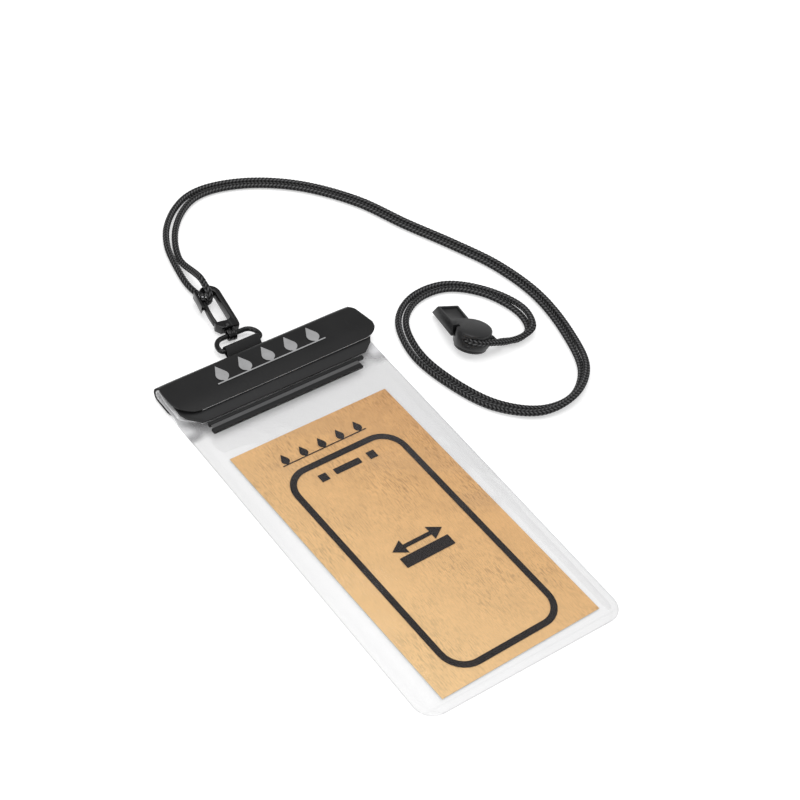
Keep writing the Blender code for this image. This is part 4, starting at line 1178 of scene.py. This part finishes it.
    def plait(self, turn: float, along: float) -> Spot:
        """Height of the braid's surface and how much light a strand's crown catches, both from 0 to 1.

        Args:
            turn: Way round the cord, from 0 to 1.
            along: Way along it in millimetres.

        Returns:
            The height and the light.
        """
        column = turn * self.columns
        slant = 1.0 if math.floor(column) % 2 else -1.0
        across = column % 1.0
        lengthways = (along / self.pitch + slant * self.slope * (across - 0.5)) % 1.0
        crown = (1.0 - (2.0 * lengthways - 1.0) ** 2) * (0.55 + 0.45 * math.sin(math.pi * across))
        # The crown's light is a painted highlight, and strands slanting one way get less of it, a painted shade.
        return crown, crown ** 3.0 * (1.0 if slant > 0 else 0.7)

    def braid(self) -> tuple[list[Vector], list[float], list[float]]:
        """Rings of points round the route.

        Returns:
            Points in metres, the light of each, and each ring's length along in millimetres.
        """
        line = self.even_line(self.step)
        side = (line[1] - line[0]).orthogonal().normalized()
        points, crowns, lengths = [], [], []
        along = 0.0
        for i, centre in enumerate(line):
            ahead = (line[min(i + 1, len(line) - 1)] - line[max(i - 1, 0)]).normalized()
            side = (side - ahead * side.dot(ahead)).normalized()
            up = ahead.cross(side)
            along += (centre - line[i - 1]).length if i else 0.0
            lengths.append(along)
            for j in range(self.sides):
                high, light = self.plait(j / self.sides, along)
                radius = self.diameter / 2 - self.sunk + self.crown * (high - 0.5)
                spin = 2 * math.pi * (j / self.sides)
                points.append(mm(centre + (side * math.cos(spin) + up * math.sin(spin)) * radius))
                crowns.append(light)
        return points, crowns, lengths

    def build(self) -> None:
        points, crowns, lengths = self.braid()
        n, last = self.sides, len(lengths) - 1
        faces = [(i * n + j, i * n + (j + 1) % n, (i + 1) * n + (j + 1) % n, (i + 1) * n + j)
                 for i in range(last) for j in range(n)]
        faces += [tuple(reversed(range(n))), tuple(last * n + j for j in range(n))]
        cord = mesh_piece("braided_lanyard", points, faces)
        layer = cord.data.uv_layers.new(name="sheet")
        for face in cord.data.polygons:
            for k, loop in enumerate(face.loop_indices):
                ring, j = divmod(cord.data.loops[loop].vertex_index, n)
                turn = 1.0 if j == 0 and k in (1, 2) and len(face.vertices) == 4 else j / n
                layer.data[loop].uv = (turn * math.pi * self.diameter * MM, lengths[ring] * MM)
        add_values(cord, "crown", crowns)
        take(cord)
        bpy.ops.object.shade_smooth()
        self.clothe(cord, "yarn")
        self.report(cord, "lanyard_cord", Body.HOOK)
        path = [tuple(p * MM) for p in self.even_line(self.path_step)]


# Pouch

@dataclass
class FilmBag(Assembly):
    """Two clear films welded round three sides, rolled over at the neck."""

    half: float = 59.5
    corner: float = 10.0
    weld: float = 4.2
    film: float = 0.16
    body_thick: float = 2.0
    neck_thick: float = 1.2
    narrows_at: float = 172.5
    crease_at: float = 175.6
    curls_at: float = 186.0
    mouth_half: float = 50.5
    mouth_length: float = 9.5
    swell: float = 3.6
    front_depth: float = 0.42
    back_depth: float = 0.10
    weld_line: float = 0.35
    weld_edge: float = 0.45
    columns: int = 72

    def stations(self, path: FoldPath) -> list[float]:
        """Lengths along the film where it gets a row, close where it bends.

        Args:
            path: Line of the back film.

        Returns:
            The lengths in millimetres.
        """
        places, s = [], 0.0
        while s < path.total:
            places.append(s)
            y = path.at(s, 0.0)[0]
            s += 0.6 if s < 12 else 0.55 if y > 103.0 else 1.2 if y > 58.0 else 3.0
        return places + [path.total]

    def reach(self, s: float, path: FoldPath) -> float:
        """Half width of the film at a length along it.

        Args:
            s: Length in millimetres.
            path: Line of the back film.

        Returns:
            The half width in millimetres.
        """
        if s < self.corner:
            return self.half - self.corner + math.sqrt(max(0.0, self.corner ** 2 - (self.corner - s) ** 2))
        narrow = smooth_step((s - (path.total - self.mouth_length)) / self.mouth_length)
        return self.half + (self.mouth_half - self.half) * narrow

    def spot(self, s: float, t: float, path: FoldPath, front: bool) -> tuple[Vector, float, float]:
        """One point of a film.

        Args:
            s: Length along it in millimetres.
            t: Way across it, from -1 to 1.
            path: Line of the back film.
            front: Whether this is the front film.

        Returns:
            Its place in metres, how much it belongs to a weld, with a painted dark outline at its very edge, and
            how much to the curl at the neck, which carries a painted highlight.
        """
        half = self.reach(s, path)
        narrow = smooth_step((s - self.narrows_at) / 11.0)
        total = self.body_thick + (self.neck_thick - self.body_thick) * narrow
        x = half * crowded(t, 0.55)
        side = half - abs(x)
        open_up = smooth_step((side - self.weld) / self.swell) * smooth_step((s - self.weld) / self.swell)
        waves = 0.10 * math.sin(x * 0.13 + 1.1) * math.sin(s * 0.047 + 0.4)
        waves += 0.06 * math.sin(s * 0.21 + x * 0.09)
        crease = bell(s - self.crease_at - 0.02 * x, 0.9) * smooth_step((50.0 - abs(x + 2.0)) / 24.0)
        lift = open_up * (total - 0.5 + (waves + 0.05 * crease) * (1 - narrow * 0.6))
        y, z = path.at(s, (self.front_depth + lift) if front else self.back_depth)
        line = bell(side - self.weld, self.weld_line) + bell(s - self.weld, self.weld_line)
        # Painted shade: a dark outline along the film's outer edge, where light bends at the edge.
        edge = bell(side, self.weld_edge) + bell(s, self.weld_edge)
        curl = smooth_step((s - self.curls_at) / 10.0) * (0.35 + 0.65 * smooth_step((9.0 - side) / 6.0))
        return mm((x, NECK.skewed(x, y), z)), min(1.0, 0.12 * line + 0.04 * crease + 0.9 * edge), curl

    def build(self) -> None:
        """Model both films as one piece, welded along their edges."""
        path = NECK.film_path()
        films = []
        for title, front in (("film_back", False), ("film_front", True)):
            net = [[self.spot(s, t, path, front) for t in ways(self.columns)]
                   for s in self.stations(path)]
            sheet = sheet_piece(title, [[place for place, _, _ in row] for row in net])
            add_values(sheet, "weld", [weld for row in net for _, weld, _ in row])
            add_values(sheet, "curl", [curl for row in net for _, _, curl in row])
            self.thicken(sheet, self.film, "film")
            films.append(sheet)
        bag, front_film = films
        take(bag)
        front_film.select_set(True)
        bpy.ops.object.join()
        bag.name = "film_bag"
        smooth(bag, 50.0)
        self.report(bag, "clear_bag")


@dataclass
class InsertCard(Assembly):
    """The board card inside the bag, with its print."""

    width: float = 95.0
    length: float = 163.0
    thick: float = 0.28
    centre: Spot = (-0.4, -23.2)
    turn: float = 1.35
    low: float = 0.7
    columns: int = 48
    rows: int = 82
    squares: tuple[Spot, ...] = ((-16.8, 25.3), (12.5, 26.1))
    square: float = 4.6
    print_low: float = 1.2
    print_high: float = 1.33

    def spot(self, across: float, along: float) -> Vector:
        """A point of the slightly wavy board.

        Args:
            across: Share of its width.
            along: Share of its length.

        Returns:
            The point in metres.
        """
        flat = Vector(((across - 0.5) * self.width, (along - 0.5) * self.length, 0.0))
        place = Matrix.Rotation(math.radians(self.turn), 3, "Z") @ flat + Vector((*self.centre, 0.0))
        wave = 0.035 * math.sin(place.x * 0.11) * math.sin(place.y * 0.06 + 0.7)
        return mm((place.x, place.y, self.low + self.thick / 2 + wave))

    def build(self) -> None:
        """Model the card and the squares beside the speaker bar, and dress the rest of its print."""
        card = sheet_piece("kraft_card", [[self.spot(c / self.columns, r / self.rows)
                                           for c in range(self.columns + 1)] for r in range(self.rows + 1)])
        self.thicken(card, self.thick, "board", "board_edge")
        smooth(card, 40.0)
        self.report(card, "insert_card")
        half = self.square / 2
        for number, (x, y) in enumerate(self.squares, start=1):
            block = add_block(f"card_square_{number}", (x - half, y - half, self.print_low),
                              (x + half, y + half, self.print_high))
            turn_mesh(block, math.radians(self.turn), (x * MM, y * MM, 0.0))
            ease_edges(block, 0.04, 1, 35.0)
            self.clothe(block, "card_ink")
            self.report(block, "card_speaker_bar", replaces=False)
        self.repaint("card_ink", "card_phone_outline", "card_speaker_bar", "card_label_bar", "card_size_arrow",
                     "card_drop_mark")


@dataclass
class FoldedFlap(Assembly):
    """The vinyl flap folded over the rolled neck, with a painted highlight along the rim of its lip."""

    half: float = 59.8
    left_corner: float = 13.0
    right_corner: float = 7.0
    leaf_corner: float = 4.0
    thick: float = 0.8
    splay: float = 3.2
    lip_highlight_from: float = -47.0
    leaf: float = 11.0
    lip: float = 13.2
    columns: int = 110

    def end_trim(self, x: float) -> float:
        """How far short of the lip the flap ends at a place across it.

        Args:
            x: The place in millimetres.

        Returns:
            The distance in millimetres.
        """
        for side, radius in ((-1, self.left_corner), (1, self.right_corner)):
            into = side * x - (self.half - radius)
            if into > 0:
                return radius - math.sqrt(max(0.0, radius ** 2 - min(into, radius) ** 2))
        return 0.0

    def start_trim(self, x: float) -> float:
        """How far the lower leaf's corners are rounded back.

        Args:
            x: A place across the flap in millimetres.

        Returns:
            The distance in millimetres.
        """
        radius = self.leaf_corner
        into = abs(x) - (self.half - radius)
        return radius - math.sqrt(max(0.0, radius ** 2 - min(into, radius) ** 2)) if into > 0 else 0.0

    def spot(self, s: float, t: float, path: FoldPath) -> Vector:
        """One point of the flap.

        Args:
            s: Length along the untrimmed flap in millimetres.
            t: Way across it, from -1 to 1.
            path: Line of its outer face.

        Returns:
            Its place in metres.
        """
        x = self.half * crowded(t, 0.6)
        total, fold_end = path.total, path.total - self.lip
        if s > fold_end:
            s = fold_end + (s - fold_end) * (self.lip - self.end_trim(x)) / self.lip
        elif s < self.leaf:
            first = self.start_trim(x)
            s = first + s * (self.leaf - first) / self.leaf
        y, z = path.at(s, self.thick / 2)
        past = s - total / 2
        sag = -0.22 * math.sin((x + 60) * 0.031) ** 2 * smooth_step((s - fold_end) / 10.0)
        away = min(1.0, max(0.0, (past + 1.0) / 17.0)) * max(0.0, x / self.half) ** 7
        shy = bell(past, 2.2) * max(0.0, abs(x) / self.half) ** 16
        out = smooth_step(past / 4.0) * self.splay * away
        return mm((x * (1 - 0.018 * shy) + out, NECK.skewed(x, y) - 0.5 * shy, z + sag + 0.25 * away))

    def build(self) -> None:
        """Model the flap as one folded sheet."""
        path = NECK.flap_path()
        total, fold_end = path.total, path.total - self.lip
        marks = [self.leaf * i / 8 for i in range(8)]
        marks += [self.leaf + (fold_end - self.leaf) * i / 44 for i in range(44)]
        marks += [fold_end + (total - fold_end) * i / 26 for i in range(27)]
        flap = sheet_piece("folded_flap", [[self.spot(s, t, path) for t in ways(self.columns)] for s in marks])
        self.thicken(flap, self.thick, "vinyl", "cut_edge")
        # The painted lip highlight is left off the rim's left end, where the edge lies in shade.
        for face in flap.data.polygons:
            if face.center.x < self.lip_highlight_from * MM:
                face.material_index = 0
        ease_edges(flap, 0.12, 2, 50.0)
        smooth(flap, 50.0)
        self.report(flap, "closure_flap")
        self.repaint("flap_ink", "flap_drop_mark")
        self.repaint("pad", "loop_patch", "hook_patch")


@dataclass
class NeckPanel(Assembly):
    """The vinyl panel under the flap that narrows to the zip, its left side curled up a little."""

    thick: float = 0.75
    rear: float = 104.0
    front: float = 81.4
    high: float = 6.0
    drop: float = 1.15
    columns: int = 90
    rows: int = 60
    left: tuple[Spot, ...] = (
        (80.0, 50.8), (82.5, 53.2), (84.0, 55.2), (85.7, 56.9), (89.0, 58.3), (97.6, 58.1), (107.8, 57.2))
    right: tuple[Spot, ...] = (
        (80.0, 45.6), (82.0, 47.6), (84.0, 51.0), (87.0, 55.6), (91.0, 58.4), (97.6, 58.2), (107.8, 57.4))

    def row(self, y: float) -> list[Vector]:
        """Points across the panel at a place along the pouch.

        Args:
            y: The place in millimetres.

        Returns:
            The points in metres.
        """
        left = between(y - NECK.skew * 55, self.left)
        right = between(y + NECK.skew * 55, self.right)
        height = self.high - self.drop * (1 - smooth_step((y - self.front) / 9.0))
        row = []
        for c in range(self.columns + 1):
            t = c / self.columns
            t = 0.5 * t + 0.5 * (0.5 - 0.5 * math.cos(math.pi * t))
            x = -left + (left + right) * t
            crown = 0.25 * math.sin(math.pi * t) * math.sin(math.pi * min(1.0, (self.rear - y) / 24.0))
            row.append(mm((x, NECK.skewed(x, y), height + crown + 0.275 * bell(x + left, 2.2))))
        return row

    def build(self) -> None:
        """Model the panel as a sheet with shaped sides."""
        rows = [self.row(self.rear + (self.front - self.rear) * (r / self.rows)) for r in range(self.rows + 1)]
        panel = sheet_piece("neck_panel_sheet", rows)
        self.thicken(panel, self.thick, "panel")
        ease_edges(panel, 0.3, 3, 50.0)
        smooth(panel, 55.0)
        self.report(panel, "neck_panel")


@dataclass
class RibZip(Assembly):
    """The press-to-close zip: two rounded beads with a finely ribbed grey tape between them."""

    left: float = -48.4
    right: float = 46.2
    rear: float = 79.5
    front: float = 75.0
    low: float = 3.4
    high: float = 5.2
    slant: float = 0.0250
    ribs: int = 104
    rib_high: float = 0.22
    tape_wide: float = 3.2
    tape_thick: float = 0.5
    tape_short: float = 4.5
    tape_shift: Point = (0.6, 0.4, -0.45)

    def slanted(self, piece: Piece) -> None:
        """Turn a piece with the neck's skew, about the middle of the zip."""
        turn_mesh(piece, math.atan(self.slant), (0.0, (self.rear + self.front) / 2 * MM, 0.0))

    def bead(self, title: str, y: float, width: float, top: float, ends: Spot, node: str) -> None:
        """One bead: a long block with a crowned top and rounded edges.

        Args:
            title: Its name.
            y: Its middle.
            width: Its width.
            top: Its highest point.
            ends: Its left and right end.
            node: The CAD node that it stands for.
        """
        piece = add_block(title, (ends[0], y - width / 2, self.low), (ends[1], y + width / 2, top))
        edit_some(piece, "FACE", [face.normal.z > 0.9 for face in piece.data.polygons])
        bpy.ops.mesh.inset(thickness=width * 0.30 * MM, depth=0.12 * MM)
        bpy.ops.mesh.select_all(action="SELECT")
        bpy.ops.mesh.subdivide(number_cuts=2)
        close()
        ease_edges(piece, 0.38, 3, 30.0)
        self.slanted(piece)
        smooth(piece, 50.0)
        self.clothe(piece, "zip")
        self.report(piece, node)

    def tape(self) -> None:
        """The ribbed tape between the beads, every second row of its grid raised."""
        bpy.ops.object.select_all(action="DESELECT")
        width, cells = self.right - self.left - self.tape_short, self.ribs * 2
        middle = Vector((self.left + width / 2, (self.rear + self.front) / 2, self.high)) + Vector(self.tape_shift)
        bpy.ops.mesh.primitive_grid_add(x_subdivisions=cells, y_subdivisions=4, size=1.0, location=middle * MM)
        piece = bpy.context.object
        settle(piece, "zip_ribbed_tape", (width * MM, self.tape_wide * MM, 1.0))
        start = min(vertex.co.x for vertex in piece.data.vertices)
        pitch = width * MM / cells
        raised = [round((vertex.co.x - start) / pitch) % 2 == 1 for vertex in piece.data.vertices]
        edit_some(piece, "VERT", raised)
        bpy.ops.transform.translate(value=(0.0, 0.0, self.rib_high * MM))
        close()
        self.thicken(piece, self.tape_thick, "tape", offset=-1.0)
        self.slanted(piece)
        smooth(piece, 30.0)
        self.report(piece, "zip_groove_strip", replaces=False)

    def build(self) -> None:
        """Model both beads and the tape."""
        self.bead("zip_bead_rear", self.rear, 1.9, self.high, (self.left, self.right), "zip_rib_strip")
        self.bead("zip_bead_front", self.front, 2.8, self.high - 0.1, (self.left - 0.5, self.right - 4.0),
                  "zip_groove_strip")
        self.tape()


@dataclass
class RingTab(Assembly):
    """The vinyl strip under the fold whose end is turned round the ring."""

    width: float = 20.5
    root_width: float = 29.0
    thick: float = 0.68
    root: float = -20.2
    weld: float = -5.6
    bore: float = 1.75
    floor: float = -3.4
    columns: int = 40

    def build(self) -> None:
        """Model the strip as one sheet that closes on itself."""
        line = [(self.root + (self.weld - self.root) * i / 14, self.floor + self.thick / 2) for i in range(15)]
        line.append((self.weld + 2.6, self.floor + 0.55))
        line += arc((0.0, 0.0), self.bore + self.thick / 2, -97, 96, 30)
        line += [(self.weld + y, self.floor + z) for y, z in ((2.8, 2.6), (0.9, 1.55), (-0.6, 1.12))]
        rows = []
        for y, z in line:
            wide = smooth_step((y + 9.5) / 5.0)
            half = self.root_width / 2 + (self.width - self.root_width) / 2 * wide
            rows.append([FRAMES.tab() @ mm((half * t, y, z)) for t in ways(self.columns)])
        tab = sheet_piece("ring_tab_strip", rows)
        self.thicken(tab, self.thick, "vinyl")
        ease_edges(tab, 0.12, 2, 60.0)
        smooth(tab, 60.0)
        self.report(tab, "ring_tab")


# Mouldings

def moulded_copy(node: str, title: str, quads: bool = False) -> Piece:
    """A copy of a solid's own form, merged, for a piece that replaces it.

    Args:
        node: The CAD node.
        title: Name of the piece.
        quads: Whether to join triangles and smooth the form once more.

    Returns:
        The piece.
    """
    piece = new_object(title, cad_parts[node].data.copy())
    edit(piece)
    bpy.ops.mesh.remove_doubles(threshold=0.000002)
    if quads:
        bpy.ops.mesh.tris_convert_to_quads()
        finer = piece.modifiers.new("finer", "SUBSURF")
        finer.levels = finer.render_levels = 2
    else:
        bpy.ops.mesh.dissolve_limited(angle_limit=math.radians(1.5))
    close()
    apply_modifiers(piece)
    return piece


@dataclass
class Mouldings(Assembly):
    """The oval ring, the swivel eye, the snap hook with its gate, and the side whistle."""

    clasp_edge: float = 0.38
    whistle_edge: float = 0.25
    recess_low: Point = (-9.5, 10.0, 10.0)
    recess_high: Point = (0.0, 21.8, 12.0)

    def recess(self, piece: Piece) -> None:
        """Sink a shallow panel into the mouthpiece, inside a raised rim.

        Args:
            piece: The whistle's body.
        """
        cutter = add_block("recess_cutter", self.recess_low, self.recess_high)
        cutter.matrix_world = FRAMES.whistle()
        cut = piece.modifiers.new("recess", "BOOLEAN")
        cut.operation, cut.object, cut.solver = "DIFFERENCE", cutter, "EXACT"
        apply_modifiers(piece)
        bpy.data.objects.remove(cutter)

    def dress(self, piece: Piece, node: str, body: Body, look: str, edge: float) -> None:
        """Ease the edges of a moulding and finish it.

        Args:
            piece: The moulding.
            node: The CAD node that it replaces.
            body: The body it moves with.
            look: Its finish.
            edge: Width of the eased edges in millimetres.
        """
        ease_edges(piece, edge, 2, 32.0)
        smooth(piece, 38.0)
        self.clothe(piece, look)
        self.report(piece, node, body)

    def build(self) -> None:
        """Dress the ring, the clasp's mouldings and the whistle's halves."""
        ring = moulded_copy("oval_ring", "oval_ring_wire", quads=True)
        smooth(ring, 180.0)
        self.clothe(ring, "clasp")
        self.report(ring, "oval_ring", Body.RING)
        for node, title, body in (("swivel_eye", "swivel_eye_moulding", Body.SWIVEL),
                                  ("hook_body", "snap_hook_moulding", Body.HOOK),
                                  ("hook_gate", "thumb_gate_moulding", Body.GATE)):
            self.dress(moulded_copy(node, title), node, body, "clasp", self.clasp_edge)
        self.repaint("steel", "gate_pin")
        for node, title in (("whistle_body", "whistle_moulding"),
                            ("whistle_side_cover", "whistle_cover_moulding")):
            piece = moulded_copy(node, title)
            if node == "whistle_body":
                self.recess(piece)
            self.dress(piece, node, Body.HOOK, "whistle", self.whistle_edge)


# Assembly


def main() -> None:
    """Build the finishes, the studio and every sub-assembly in order."""
    logging.basicConfig(level=logging.INFO, format="%(message)s")
    groups = {"grain": grain_group(), "rub": rub_group(), "waves": wave_group()}
    looks = {name: finish.make(groups) for name, finish in PALETTE.items()}
    for kind in (Studio, Lanyard, FilmBag, InsertCard, FoldedFlap, NeckPanel, RibZip, RingTab, Mouldings):
        kind(looks).build()


if __name__ == "__main__":
    main()
